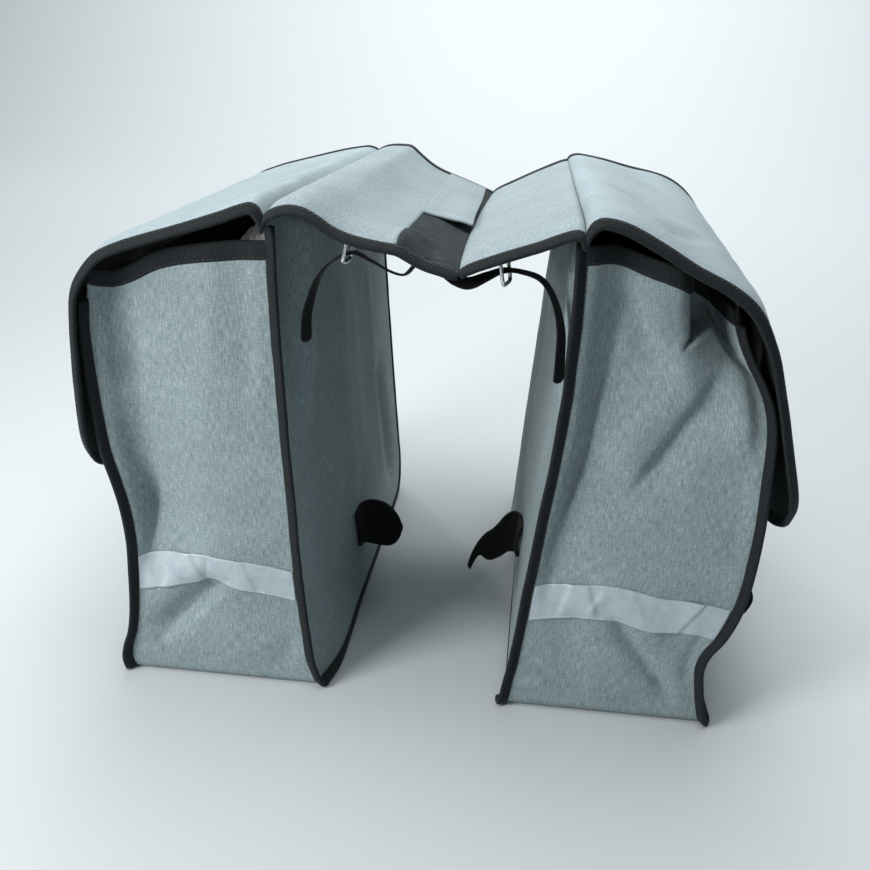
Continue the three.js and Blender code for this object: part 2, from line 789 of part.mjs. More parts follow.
function buckle(side) {
  const { out, height } = BUCKLES[side];
  const outline = roundedRectangle(new THREE.Shape(), BUCKLE_WIDTH, BUCKLE_HEIGHT, BUCKLE_CORNER);
  const window = [BUCKLE_WIDTH - 2 * BUCKLE_WIRE, BUCKLE_HEIGHT - 2 * BUCKLE_WIRE];
  outline.holes.push(roundedRectangle(new THREE.Path(), ...window, BUCKLE_CORNER - BUCKLE_WIRE / 2));
  const options = { depth: BUCKLE_WIRE, bevelEnabled: false, curveSegments: 3 };
  const geometry = new THREE.ExtrudeGeometry(outline, options);
  geometry.translate(0, 0, -BUCKLE_WIRE / 2);
  geometry.rotateX(Math.PI / 2);
  geometry.rotateZ(Math.PI / 2);
  const centre = place(side, out, STRAP_Y, height);
  return geometry.translate(centre.x, centre.y, centre.z);
}

const TAB_WALL = 1.4; // webbing of the loop
const TAB_WIDTH = 9;
const TAB_TAPER = 0.8; // the loop is this much slimmer where it is sewn to the bridge

function buckleTab(side) {
  const { out, height, hang } = BUCKLES[side];
  const bar = height + (BUCKLE_HEIGHT - BUCKLE_WIRE) / 2;
  const inner = (BUCKLE_WIRE / 2) * Math.SQRT2 + GAP;
  const outer = inner + TAB_WALL;
  const outline = new THREE.Shape();
  outline.moveTo(-outer, 0);
  outline.absarc(0, 0, outer, Math.PI, 2 * Math.PI);
  outline.lineTo(outer * TAB_TAPER, hang - bar);
  outline.lineTo(-outer * TAB_TAPER, hang - bar);
  outline.closePath();
  const eye = new THREE.Path();
  eye.absarc(0, 0, inner, 0, 2 * Math.PI);
  outline.holes.push(eye);
  const options = { depth: TAB_WIDTH, bevelEnabled: false, curveSegments: 6 };
  const geometry = new THREE.ExtrudeGeometry(outline, options);
  geometry.translate(0, 0, -TAB_WIDTH / 2);
  geometry.rotateX(Math.PI / 2);
  const centre = place(side, out, STRAP_Y, bar);
  return geometry.translate(centre.x, centre.y, centre.z);
}

// The whole pannier
const pannier = new THREE.Group();

function add(name, geometry, finish) {
  const mesh = new THREE.Mesh(geometry, new THREE.MeshStandardMaterial(FINISHES[finish]));
  mesh.name = name;
  pannier.add(mesh);
}

const BACK_TOP = 348.4; // top of the back panel, just under the bridge's seam
const BINDING_TOPS = { back: 342, front: 287 };

for (const side of Object.keys(SIDES)) {
  add(`${side}_back_panel`, panel(side, BACK, BACK_TOP), 'cloth');
  add(`${side}_front_panel`, panel(side, FRONT, FRONT_TOP - HEM - GAP), 'cloth');
  add(`${side}_gusset`, gusset(side), 'cloth');
  add(`${side}_back_binding`, seamBinding(side, BACK, BINDING_TOPS.back), 'tape');
  add(`${side}_front_binding`, seamBinding(side, FRONT, BINDING_TOPS.front), 'tape');
  add(`${side}_near_hem`, nearHem(side), 'tape');
  add(`${side}_far_hem`, farHem(side), 'tape');
  add(`${side}_front_hem`, frontHem(side), 'tape');
  add(`${side}_lid`, lid(side), 'cloth');
  add(`${side}_lid_binding`, lidBinding(side), 'tape');
  add(`${side}_near_reflector`, nearReflector(side), 'reflective');
  add(`${side}_far_reflector`, farReflector(side), 'reflective');
  add(`${side}_wheel_strap`, wheelStrap(side), 'webbing');
  add(`${side}_strap`, strap(side), 'webbing');
  add(`${side}_buckle`, buckle(side), 'steel');
  add(`${side}_buckle_tab`, buckleTab(side), 'webbing');
}

const BRIDGE_ENDS = { near: -1, far: 1 };
const SEAM_END = SEAM_OUT - 2; // the bridge's tape stops just before the seams
const FOLD_CLEARANCE = 1; // and on either side of the fold
const LEFT_XS = steps(BRIDGE_LEFT[0][0], STRIP_EDGE - HALF_GAP, 9);
const RIGHT_XS = steps(BRIDGE_FOLD + GAP, BRIDGE_RIGHT.at(-1)[0], 6);
add('bridge_left_panel', bridgeSheet(BRIDGE_LEFT, LEFT_XS), 'cloth');
add('bridge_right_panel', bridgeSheet(BRIDGE_RIGHT, RIGHT_XS), 'cloth');
add('bridge_middle_strip', bridgeSheet(BRIDGE_LEFT, STRIP_XS, STRIP_THICKNESS), 'pile');
add('bridge_cover_tab', coverTab(), 'cloth');
for (const [name, end] of Object.entries(BRIDGE_ENDS)) {
  const leftEdge = bridgeBinding(BRIDGE_LEFT, steps(-SEAM_END, BRIDGE_FOLD - FOLD_CLEARANCE, 12), end);
  const rightEdge = bridgeBinding(BRIDGE_RIGHT, steps(BRIDGE_FOLD + FOLD_CLEARANCE, SEAM_END, 7), end);
  add(`bridge_left_${name}_binding`, leftEdge, 'tape');
  add(`bridge_right_${name}_binding`, rightEdge, 'tape');
}
add('right_front_tab', frontTab('right'), 'webbing');

export default pannier;
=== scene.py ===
"""Looks of the double bicycle pannier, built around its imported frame. Metres, +Z up."""
import math

import bpy
import numpy as np
from mathutils import Matrix, Vector, noise


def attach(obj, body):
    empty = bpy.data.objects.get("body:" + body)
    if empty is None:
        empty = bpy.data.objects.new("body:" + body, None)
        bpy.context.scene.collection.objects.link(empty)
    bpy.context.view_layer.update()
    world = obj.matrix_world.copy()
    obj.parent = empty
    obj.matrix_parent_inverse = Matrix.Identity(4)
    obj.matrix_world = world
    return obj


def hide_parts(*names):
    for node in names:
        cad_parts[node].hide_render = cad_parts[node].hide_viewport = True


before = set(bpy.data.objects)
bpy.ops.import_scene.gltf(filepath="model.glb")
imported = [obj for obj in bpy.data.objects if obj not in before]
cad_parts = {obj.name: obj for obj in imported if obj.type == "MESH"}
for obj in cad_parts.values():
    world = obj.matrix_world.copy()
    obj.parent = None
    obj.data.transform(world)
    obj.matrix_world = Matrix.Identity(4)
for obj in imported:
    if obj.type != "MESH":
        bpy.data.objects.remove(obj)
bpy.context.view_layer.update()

MM = 0.001  # the tables below are in millimetres

# Sizes of the cut and sewn pieces
BAG_LENGTH = 360
SEAM_HEIGHT = 352
SEAM_OUT = 99.5
SEAM_OUT_FAR = 92
NEAR_RADIUS = 6
FAR_RADIUS = 38
CLOTH = 1.4
FLOOR = 0.8
FOOT = 5
LID_LENGTH = 378
LID_PROFILE_LENGTH = 278
LID_RADIUS = 34
EDGE_DROOP = 5
FAR_DROOP = 0.5
DROOP_WIDTH = 26
FLAP_DROOP = 0.3
HEM = 12.5
HEM_THICKNESS = 3
BINDING = 7.5
LID_BINDING = 5.8
BRIDGE_BINDING = 5.5
TAPE_THICKNESS = 3.4
STRAP_WIDTH = 10
STRAP_THICKNESS = 1.5
MIDDLE_X = -7.5
SIDES = {"left": -1, "right": 1}
HALF_LENGTH = BAG_LENGTH / 2
LID_HALF = LID_LENGTH / 2

# Seams: height, then the back and the front seam's distance out from the middle
BACK = 1
FRONT = 2
NEAR_SEAMS = {
    "left": [
        (0, 70, 213),
        (10, 74, 217),
        (22, 78, 216),
        (36, 80.5, 212),
        (60, 84, 209.5),
        (86, 86.5, 208),
        (115, 89, 207.5),
        (136, 90, 209.5),
        (160, 91.5, 214.5),
        (182, 93, 219.5),
        (227, 95.5, 223.5),
        (266, 97.5, 225),
        (290, 98.5, 223.5),
        (352, 99.5, 220),
    ],
    "right": [
        (0, 70, 213),
        (18, 73, 208.5),
        (34, 76, 206),
        (47, 77.5, 205),
        (58, 79, 208),
        (73, 80.7, 217),
        (96, 83, 224.5),
        (121, 86, 228),
        (159, 90, 229.5),
        (196, 94.5, 228.5),
        (230, 97.6, 227.5),
        (246, 98.7, 224),
        (257, 99.2, 219),
        (268, 99.6, 212.5),
        (280, 100, 206.5),
        (294, 100.3, 202),
        (310, 100.5, 199),
        (352, 99.5, 196),
    ],
}
FAR_SEAMS = {
    "left": [
        (0, 63, 208),
        (150, 76, 212),
        (300, 88, 205),
        (352, 92, 201),
    ],
    "right": [
        (0, 70, 208),
        (150, 80, 213),
        (300, 89, 205),
        (352, 92, 201),
    ],
}

# The left bag's back seam swings towards the wheel behind its near foot: place along, how far
SWUNG_SEAM = ("left", BACK)
FOOT_SWING = [
    (-180, 0),
    (-168, 3),
    (-150, 6.5),
    (-130, 8),
    (-110, 7.5),
    (-60, 5.5),
    (60, 3),
    (180, 0),
]
FOOT_SWING_HEIGHT = 48

# How far the near side's back and front seams stand out beyond the bag's length, by height: the
# foot spreads, and the right bag's upper front corner has fallen in
NEAR_FACE = {
    "left": [
        (0, FOOT, FOOT),
        (20, 4.4, 4.4),
        (60, 0.8, 0.8),
        (90, 0, 0),
        (352, 0, 0),
    ],
    "right": [
        (0, FOOT, FOOT),
        (20, 4.4, 4.4),
        (60, 0.8, 0.8),
        (90, 0, 0),
        (204, 0, 0),
        (236, 0, -6),
        (262, 0, -18),
        (296, 0, -36),
        (352, 0, -44),
    ],
}

# Mouth of the near gusset: part of the way from back to front seam, then the hem's top edge
MOUTH = {
    "left": [
        (0, 335.5),
        (0.25, 333),
        (0.48, 329),
        (0.62, 324),
        (0.76, 315),
        (0.87, 310),
        (0.94, 310.5),
        (1, 313),
    ],
    "right": [
        (0, 343),
        (0.18, 343),
        (0.4, 336),
        (0.62, 329),
        (0.8, 316),
        (1, 301),
    ],
}
FAR_MOUTH = [
    (0, 336),
    (0.5, 324),
    (1, 302),
]
FRONT_TOP = 300

# Reflective strips: part of the way from back to front seam, then the lower and the upper edge
REFLECTORS = {
    "left": [
        (0, 71, 95),
        (0.3, 77, 102),
        (0.49, 80.5, 103.5),
        (0.55, 82.5, 104),
        (0.62, 79.5, 103.5),
        (0.75, 76, 102),
        (1, 69, 97),
    ],
    "right": [
        (0, 73, 101),
        (0.4, 79, 107),
        (0.65, 74, 101),
        (0.82, 73.5, 99.5),
        (1, 70, 95),
    ],
}

# Folds: both ends across and up, half width, depth (negative where the cloth caves in), and how
# they turn over: 1 is a crease, 2 is a soft roll, 4 is a hollow with a flat bed
GUSSET_FOLDS = {
    "left": [
        (150, 250, 150, 120, 42, 6, 2),
        (212, 300, 204, 240, 13, -6, 2),
        (156, 82, 152, 100, 4, -1.2, 1),
        (138, 84, 146, 72, 4, -1, 1),
        (150, 128, 142, 140, 5, -1.2, 1),
        (160, 116, 175, 108, 7, -1.2, 2),
        (118, 330, 116, 240, 9, -1.5, 2),
        (138, 322, 141, 250, 8, 1.3, 2),
        (90, 34, 98, 20, 8, -2, 2),
        (80, 10, 205, 8, 4, -1.6, 2),
    ],
    "right": [
        (150, 200, 145, 110, 40, 5, 2),
        (168, 272, 190, 272, 8, 3, 2),
        (150, 332, 152, 285, 14, 3, 2),
        (168, 256, 138, 204, 12, 3, 2),
        (170, 68, 196, 34, 10, 2.5, 2),
        (205, 66, 199, 38, 7, -2.5, 2),
        (110, 68, 116, 30, 14, -1.6, 2),
        (80, 11, 205, 9, 4, -1.6, 2),
    ],
}

# Creases: the upper and the lower end, across and up, then the widths on the inner and the outer side
# and the depth, positive for a ridge. A narrow side is a crisp wall.
GUSSET_CREASES = {
    "left": [
        (134, 92, 200, 22, 6, 13, -9),
    ],
    "right": [
        (128, 320, 154, 262, 10, 6, -3.5),
        (199, 270, 144, 170, 5, 16, -6.5),
        (204, 288, 216, 204, 12, 8, 6),
        (137, 88, 198, 8, 8, 4, -7),
    ],
}
STRIP_CREASES = {
    "left": [
        (170, 110, 192, 62, 8, 2.5, 1.3),
        (174, 114, 152, 70, 2.5, 9, 1.5),
        (132, 112, 115, 68, 2.5, 10, 1.0),
        (199, 110, 200, 58, 6, 2.5, 0.8),
    ],
    "right": [
        (212, 112, 180, 64, 8, 1.8, 1.4),
        (114, 114, 103, 72, 2.2, 8, 1.6),
        (118, 114, 131, 76, 7, 2, 1.5),
        (136, 104, 122, 82, 2, 5, 1.2),
        (148, 118, 168, 68, 14, 3, 0.8),
    ],
}
CREASE_END = 0.3

# Empty bags' gussets sink in between their seams: height, the line of the crease that this leaves,
# the widths on its inner and outer side, depth
GUSSET_GROOVES = {
    "left": [
        (60, 205, 20, 8, 0),
        (84, 202, 30, 8, -3),
        (100, 199, 40, 10, -8),
        (122, 196, 50, 13, -14),
        (138, 194, 55, 16, -17),
        (152, 194.5, 55, 18, -17),
        (170, 196, 55, 18, -16),
        (191, 197.5, 55, 18, -15),
        (222, 195, 55, 19, -12),
        (250, 194, 55, 20, -10),
        (300, 192, 45, 19, -6),
        (332, 190, 40, 20, 0),
    ],
    "right": [
        (60, 92, 12, 60, 0),
        (100, 97, 13, 80, -4),
        (130, 102, 15, 90, -9),
        (150, 106, 15, 90, -11),
        (175, 112, 16, 90, -13),
        (206, 118, 16, 80, -14),
        (245, 122, 17, 70, -14),
        (300, 128, 19, 70, -14),
        (345, 130, 19, 70, -12),
    ],
}

# The crisp lines that the cloth has creased along in these grooves, in the same way
GUSSET_LINES = {
    "left": [
        (90, 201, 2.5, 4, 0),
        (106, 198, 2.5, 5, -3),
        (122, 195.5, 3, 6, -4),
        (138, 194, 3, 7, -4),
        (152, 194.5, 4, 8, -3),
        (174, 197, 5, 8, 0),
    ],
    "right": [
        (112, 90, 5, 2.5, 0),
        (128, 94, 6, 3, -3),
        (149, 98.6, 7, 3, -4.5),
        (172, 105.5, 7, 3, -5),
        (195, 111, 7, 3, -5),
        (216, 114, 7, 3, -5),
        (250, 118, 8, 4, -4),
        (263, 121, 8, 4, -3),
        (300, 126, 10, 6, -2),
        (330, 128, 10, 6, 0),
    ],
}

# The right gusset's upper corner has fallen in: the hollow's side edge, out by height, and its lower
# edge, height by distance out
HOLLOW_SIDE = [
    (276, 166),
    (286, 172),
    (314, 169),
    (346, 168),
]
HOLLOW_LIP = [
    (160, 273),
    (168, 277),
    (176, 283),
    (186, 287),
    (192, 279),
    (198, 271),
    (206, 264),
    (214, 258),
    (222, 248),
]
HOLLOW_DEPTH = 24
HOLLOW_WALL = 5
HOLLOW_SLOPE = 8

# The far gussets sink in and crease in the same way, which the photograph doesn't show
FAR_GROOVES = {
    "left": [
        (60, 160, 40, 24, 0),
        (96, 168, 44, 22, -4),
        (150, 178, 50, 20, -9),
        (220, 182, 52, 19, -10),
        (280, 180, 48, 19, -6),
        (318, 178, 40, 20, 0),
    ],
    "right": [
        (60, 130, 24, 40, 0),
        (104, 118, 20, 50, -4),
        (160, 112, 18, 56, -9),
        (230, 114, 17, 60, -10),
        (286, 118, 18, 54, -6),
        (324, 120, 20, 50, 0),
    ],
}
FAR_CREASES = {
    "left": [
        (182, 268, 122, 176, 5, 15, -5),
        (112, 306, 128, 232, 9, 5, -3),
        (126, 104, 182, 46, 9, 5, -5),
    ],
    "right": [
        (116, 262, 176, 150, 14, 5, -5),
        (190, 300, 178, 226, 5, 9, -3),
        (172, 106, 118, 46, 5, 10, -5),
    ],
}
FAR_BULGE = 5
FOLD_FADE = 14

# The back panels' folds swell towards the wheel: place along and height of both ends, and so on
BACK_FOLDS = {
    "left": [
        (118, 140, 138, 40, 16, -6, 2),
        (0, 220, 0, 120, 80, 4, 2),
        (-13, 330, -16, 90, 16, 1.6, 2),
        (45, 310, 50, 110, 18, -1.6, 2),
        (92, 250, 96, 60, 14, 1.8, 2),
        (-150, 200, -140, 60, 18, -1.6, 2),
    ],
    "right": [
        (-112, 340, -118, 250, 12, 3, 2),
        (20, 210, 20, 120, 80, 4, 2),
        (-90, 330, -84, 120, 18, 1.6, 2),
        (60, 300, 52, 100, 20, -1.8, 2),
        (96, 330, 96, 20, 60, 9, 2),
    ],
}
# Pleats of the back panels under the bridge. They start above the seam, so that they are deepest there.
BACK_CREASES = {
    "left": [
        (-124, 470, -129, 176, 13, 13, 15),
        (-99, 470, -106, 190, 8, 8, -7),
    ],
    "right": [
        (-138, 470, -150, 172, 8, 8, -7),
        (-162, 470, -168, 178, 9, 9, 9),
    ],
}
FRONT_FOLDS = {
    "left": [
        (-60, 180, -36, 40, 28, 5, 2),
        (70, 160, 96, 30, 24, -5, 2),
        (10, 140, -20, 20, 14, -2, 2),
        (140, 150, 150, 40, 16, 2, 2),
    ],
    "right": [
        (-84, 170, -66, 40, 24, -5, 2),
        (40, 170, 66, 30, 28, 5, 2),
        (120, 150, 105, 40, 14, -2, 2),
        (-20, 120, 0, 20, 14, 2, 2),
    ],
}
FRONT_SWELL = 5

# Lid profiles from the seam over the top and down the flap: distance out and height,
# first at the near end and then at the far end
NEAR_PROFILE = 0
FAR_PROFILE = 2
LID_PROFILES = {
    "left": [
        (99.7, 350.5, 92.3, 350.5),
        (100.4, 356.6, 93.2, 352.6),
        (103, 361.4, 96.5, 354),
        (109, 362.6, 103, 354.8),
        (130, 355.4, 133, 349),
        (163, 344.6, 165, 340.5),
        (200, 332, 193, 332),
        (216, 322.6, 213, 323),
        (229, 301, 225, 304),
        (233.2, 270, 231, 270),
        (234.8, 228, 233, 230),
        (235, 197, 234, 198),
        (233, 166, 233, 165),
    ],
    "right": [
        (99.7, 350.5, 92.3, 350.5),
        (100.3, 357, 93, 352.6),
        (102.8, 362, 96, 355),
        (109, 364.4, 103, 356),
        (124, 361.6, 124, 352.6),
        (146, 351.6, 150, 346.5),
        (168, 338.6, 180, 340.5),
        (193, 326.6, 201, 329.5),
        (209, 313.5, 217, 312),
        (221, 288, 230, 283),
        (231, 256, 237, 248),
        (241, 221, 241, 212),
        (251, 182, 246, 180),
        (252.5, 168, 247, 166),
        (252.6, 160, 247.6, 156),
    ],
}
# Folds of the lids: place along and run from the seam of both ends, and so on
LID_FOLDS = {
    "left": [
        (-120, 60, 40, 72, 26, -2, 2),
        (20, 40, 150, 52, 22, -2, 2),
        (-60, 150, 60, 160, 20, 1.5, 2),
        (-150, 30, -90, 20, 10, -1.2, 2),
        (-40, 276, -64, 180, 24, 4, 2),
        (92, 276, 66, 170, 22, -4, 2),
    ],
    "right": [
        (-150, 64, -92, 92, 8, -1.6, 2),
        (-130, 52, -70, 84, 8, 1.2, 2),
        (-60, 60, 30, 48, 22, -2, 2),
        (70, 80, 140, 64, 18, -2, 2),
        (-74, 276, -48, 170, 22, -4, 2),
        (58, 276, 86, 180, 26, 4, 2),
        (-146, 284, -138, 196, 26, -8, 2),
    ],
}

# Bridge from the left seam to the fold and up to the right seam: X from the middle, height at the
# near end and height at the far end
BRIDGE_LEFT = [
    (-99.3, 350.5, 350.5),
    (-98.6, 354.4, 352.2),
    (-95.5, 358.2, 354),
    (-89, 361.4, 356.2),
    (-82, 362.6, 357.2),
    (-74, 361.4, 357.4),
    (-65, 356.8, 356.6),
    (-56, 351, 350),
    (-45, 346.6, 342),
    (-35, 344.4, 336.6),
    (-21, 342, 331.4),
    (-5, 336.6, 326.3),
    (24, 327, 316.2),
]
BRIDGE_RIGHT = [
    (24, 327, 316.2),
    (27, 330.4, 319.2),
    (33, 333.8, 322.6),
    (41, 337, 326.3),
    (51, 340.7, 330.9),
    (61, 344.4, 335.5),
    (72, 348.4, 340.4),
    (90, 355.6, 348),
    (96.5, 355.8, 350),
    (99.3, 350.8, 350.4),
]
BRIDGE_FOLDS = {
    "left": [
        (-150, -60, -60, -75, 12, -1.2, 2),
        (-60, -50, 60, -64, 16, 1.2, 2),
        (60, -84, 150, -60, 18, -1.4, 2),
    ],
    "strip": [
        (-189, -14, -150, -11, 7, 3.5, 2),
        (-189, 3, -158, 3, 8, -2.5, 2),
        (-120, -6, -60, -2, 8, 1, 2),
    ],
    "right": [
        (-120, 60, -30, 48, 16, -1.2, 2),
        (20, 74, 120, 60, 18, 1.2, 2),
    ],
}
STRIP_EDGE = -16
BRIDGE_FOLD = 24
FOLD_BEND = -3.5
FOLD_BEND_WIDTH = 12
TAB_NEAR_Y = -66
TAB_FAR_Y = 184.6
TAB_EDGES = [
    (TAB_NEAR_Y, -15.5, 25.5),
    (60, -18.5, 22),
    (TAB_FAR_Y, -21.5, 16),
]
TAB_LIFT = 1.9
TAB_RISE = 5.5
TAB_RISE_FROM = -8
TAB_RISE_TO = 22
TAB_RISE_NEAR_Y = -30
TAB_RISE_FAR_Y = 120

# Straps under the bridge: distance out from the middle and height, from the root to the free end
STRAP_Y = -176
STRAP_ROUTES = {
    "left": [
        (-6, 327.4),
        (2, 329.4),
        (6, 323.5),
        (12, 317.5),
        (21, 319),
        (33, 325),
        (46, 330),
        (59, 323),
        (68, 312),
        (73, 298),
        (76, 285),
        (76.5, 269),
    ],
    "right": [
        (9, 325.5),
        (15, 320.6),
        (21, 316.4),
        (29, 314.4),
        (40, 319.2),
        (50, 323.6),
        (61, 323.6),
        (74, 319.6),
        (83, 307.5),
        (89, 288),
        (90, 269),
        (90, 252),
    ],
}
# How far the strap turns its face to the near end: part of its run, degrees
STRAP_TURNS = {
    "left": [
        (0, 10),
        (0.3, 12),
        (0.5, 0),
        (0.8, 24),
        (1, 34),
    ],
    "right": [
        (0, 40),
        (0.18, 36),
        (0.3, 12),
        (0.38, 0),
        (0.6, 16),
        (0.8, 34),
        (1, 42),
    ],
}
# Buckles: distance out, height of the frame's centre, height of the cloth that it hangs from, then how
# far the frame is turned towards the strap and how far it leans, in degrees
BUCKLES = {
    "left": (46, 331.8, 343.2, 80, 13),
    "right": (50, 324, 336.2, 74, -10),
}
BUCKLE_WIDTH = 17
BUCKLE_HEIGHT = 19.5
BUCKLE_WIRE = 2.5

# Wheel straps: distance off the back panel, place along it, lower and upper edge
WHEEL_STRAPS = {
    "left": [
        (2.2, -26, 33, 64),
        (2.2, -16, 31, 66),
        (4, -7, 27, 67.5),
        (11, -3, 24, 68.5),
        (20, -4, 24, 68),
        (28, -8, 27.5, 66),
        (34, -12, 35, 62),
        (37.5, -15, 42, 58),
        (38.6, -16, 47, 53),
    ],
    "right": [
        (2.2, -30, 38, 66),
        (2.2, -18, 35, 67.5),
        (4, -8, 31, 69),
        (9, -4, 28.5, 69),
        (15.5, -4, 23, 64.5),
        (21, -5.5, 20.5, 56),
        (25, -7.5, 20, 51.5),
        (29.5, -9.5, 22, 48.5),
        (33, -11.5, 26.5, 45),
        (36, -12.5, 26, 40),
        (38.5, -13.2, 20, 33),
        (40, -13.6, 15.5, 24),
        (40.6, -14, 12.5, 16.5),
    ],
}
WHEEL_STRAP_THICKNESS = 3

# Loose end of webbing beside the right front seam: distance off the front panel and height
FRONT_TAB_Y = -166
FRONT_TAB_ROUTE = [
    (1.2, 117),
    (5, 111),
    (10, 105),
    (12.5, 98),
    (11, 86),
]


def colour(hex_value):
    """Linear colour of an sRGB hex value."""
    channels = [int(hex_value[i:i + 2], 16) / 255 for i in (1, 3, 5)]
    linear = [c / 12.92 if c <= 0.04045 else ((c + 0.055) / 1.055) ** 2.4 for c in channels]
    return (*linear, 1)


def node(material, kind, inputs, **settings):
    """Adds a node with its settings, and links or sets its inputs."""
    made = material.node_tree.nodes.new(kind)
    for name, value in settings.items():
        setattr(made, name, value)
    for name, value in inputs.items():
        if isinstance(value, bpy.types.NodeSocket):
            material.node_tree.links.new(value, made.inputs[name])
        else:
            made.inputs[name].default_value = value
    return made


def material_named(name):
    """A new node material and its surface shader."""
    made = bpy.data.materials.new(name)
    made.use_nodes = True
    return made, made.node_tree.nodes["Principled BSDF"]


def set_ramp(ramp, stops):
    """Gives a colour ramp its stops, each a position and a hex colour."""
    elements = ramp.color_ramp.elements
    while len(elements) < len(stops):
        elements.new(0.5)
    for element, (position, hex_value) in zip(elements, stops):
        element.position = position
        element.color = colour(hex_value)


WAVE_TURN = 2 * math.pi / 20  # a wave texture at scale 1 repeats after this length


def wave_scale(pitch):
    """Scale of a wave texture whose bands repeat after pitch, in millimetres."""
    return WAVE_TURN / (pitch * MM)


def pattern_scale(size):
    """Scale of a noise texture whose patches are about this size, in millimetres."""
    return 1 / (size * MM)


def melange_canvas(name, tones_of_yarn, relief):
    """Polyester canvas woven from melange yarn: short light and dark slubs along warp and weft,
    matt, with a faint fuzz. Its 0.5 mm threads are drawn 0.9 mm wide so that they show."""
    made, shader = material_named(name)
    thread = 0.9
    warp_slub = 8
    weft_slub = 4.5
    uv = node(made, "ShaderNodeUVMap", {}, uv_map="UVMap")
    warp_scale = (pattern_scale(thread), pattern_scale(warp_slub), 1)
    weft_scale = (pattern_scale(weft_slub), pattern_scale(thread), 1)
    warp_at = node(made, "ShaderNodeMapping", {"Vector": uv.outputs["UV"], "Scale": warp_scale})
    weft_at = node(made, "ShaderNodeMapping", {"Vector": uv.outputs["UV"], "Scale": weft_scale})
    yarn = {"Scale": 1.0, "Detail": 2.0, "Roughness": 0.6}
    warp = node(made, "ShaderNodeTexNoise", {"Vector": warp_at.outputs[0], **yarn}, noise_dimensions="2D")
    weft = node(made, "ShaderNodeTexNoise", {"Vector": weft_at.outputs[0], **yarn}, noise_dimensions="2D")
    both = node(made, "ShaderNodeMix", {"Factor": 0.38, "A": warp.outputs[0], "B": weft.outputs[0]})
    tones = node(made, "ShaderNodeValToRGB", {"Fac": both.outputs[0]})
    set_ramp(tones, tones_of_yarn)
    place_at = node(made, "ShaderNodeTexCoord", {})
    patch_inputs = {"Vector": place_at.outputs["Object"], "Scale": pattern_scale(42), "Detail": 3.0}
    patches = node(made, "ShaderNodeTexNoise", patch_inputs)
    shade_inputs = {
        "Value": patches.outputs[0],
        "From Min": 0.3,
        "From Max": 0.7,
        "To Min": 0.93,
        "To Max": 1.06,
    }
    shade = node(made, "ShaderNodeMapRange", shade_inputs)
    tinted_inputs = {"Color": tones.outputs[0], "Value": shade.outputs[0]}
    tinted = node(made, "ShaderNodeHueSaturation", tinted_inputs)
    made.node_tree.links.new(tinted.outputs[0], shader.inputs["Base Color"])
    warp_wave = node(made, "ShaderNodeTexWave", {"Vector": uv.outputs["UV"], "Scale": wave_scale(thread)})
    weft_inputs = {"Vector": uv.outputs["UV"], "Scale": wave_scale(thread)}
    weft_wave = node(made, "ShaderNodeTexWave", weft_inputs, bands_direction="Y")
    weave = node(made, "ShaderNodeMath", {0: warp_wave.outputs["Fac"], 1: weft_wave.outputs["Fac"]})
    height_inputs = {0: weave.outputs[0], 1: 0.3, 2: both.outputs[0]}
    height = node(made, "ShaderNodeMath", height_inputs, operation="MULTIPLY_ADD")
    bump_inputs = {"Height": height.outputs[0], "Strength": relief, "Distance": 0.5 * MM}
    bump = node(made, "ShaderNodeBump", bump_inputs)
    made.node_tree.links.new(bump.outputs[0], shader.inputs["Normal"])
    shader.inputs["Roughness"].default_value = 0.85
    shader.inputs["Specular IOR Level"].default_value = 0.25
    shader.inputs["Sheen Weight"].default_value = 0.12
    shader.inputs["Sheen Roughness"].default_value = 0.5
    return made


def dark_coating():
    """Polyurethane coating on the inside of the canvas: near black, dull, with a soft gleam."""
    made, shader = material_named("dark_polyurethane_coating")
    place_at = node(made, "ShaderNodeTexCoord", {})
    grain_inputs = {"Vector": place_at.outputs["Object"], "Scale": pattern_scale(1.1), "Detail": 2.0}
    grain = node(made, "ShaderNodeTexNoise", grain_inputs)
    tones = node(made, "ShaderNodeValToRGB", {"Fac": grain.outputs[0]})
    set_ramp(tones, [(0.35, "#17191A"), (0.65, "#232627")])
    made.node_tree.links.new(tones.outputs[0], shader.inputs["Base Color"])
    bump = node(made, "ShaderNodeBump", {"Height": grain.outputs[0], "Strength": 0.2, "Distance": 0.3 * MM})
    made.node_tree.links.new(bump.outputs[0], shader.inputs["Normal"])
    shader.inputs["Roughness"].default_value = 0.6
    return made


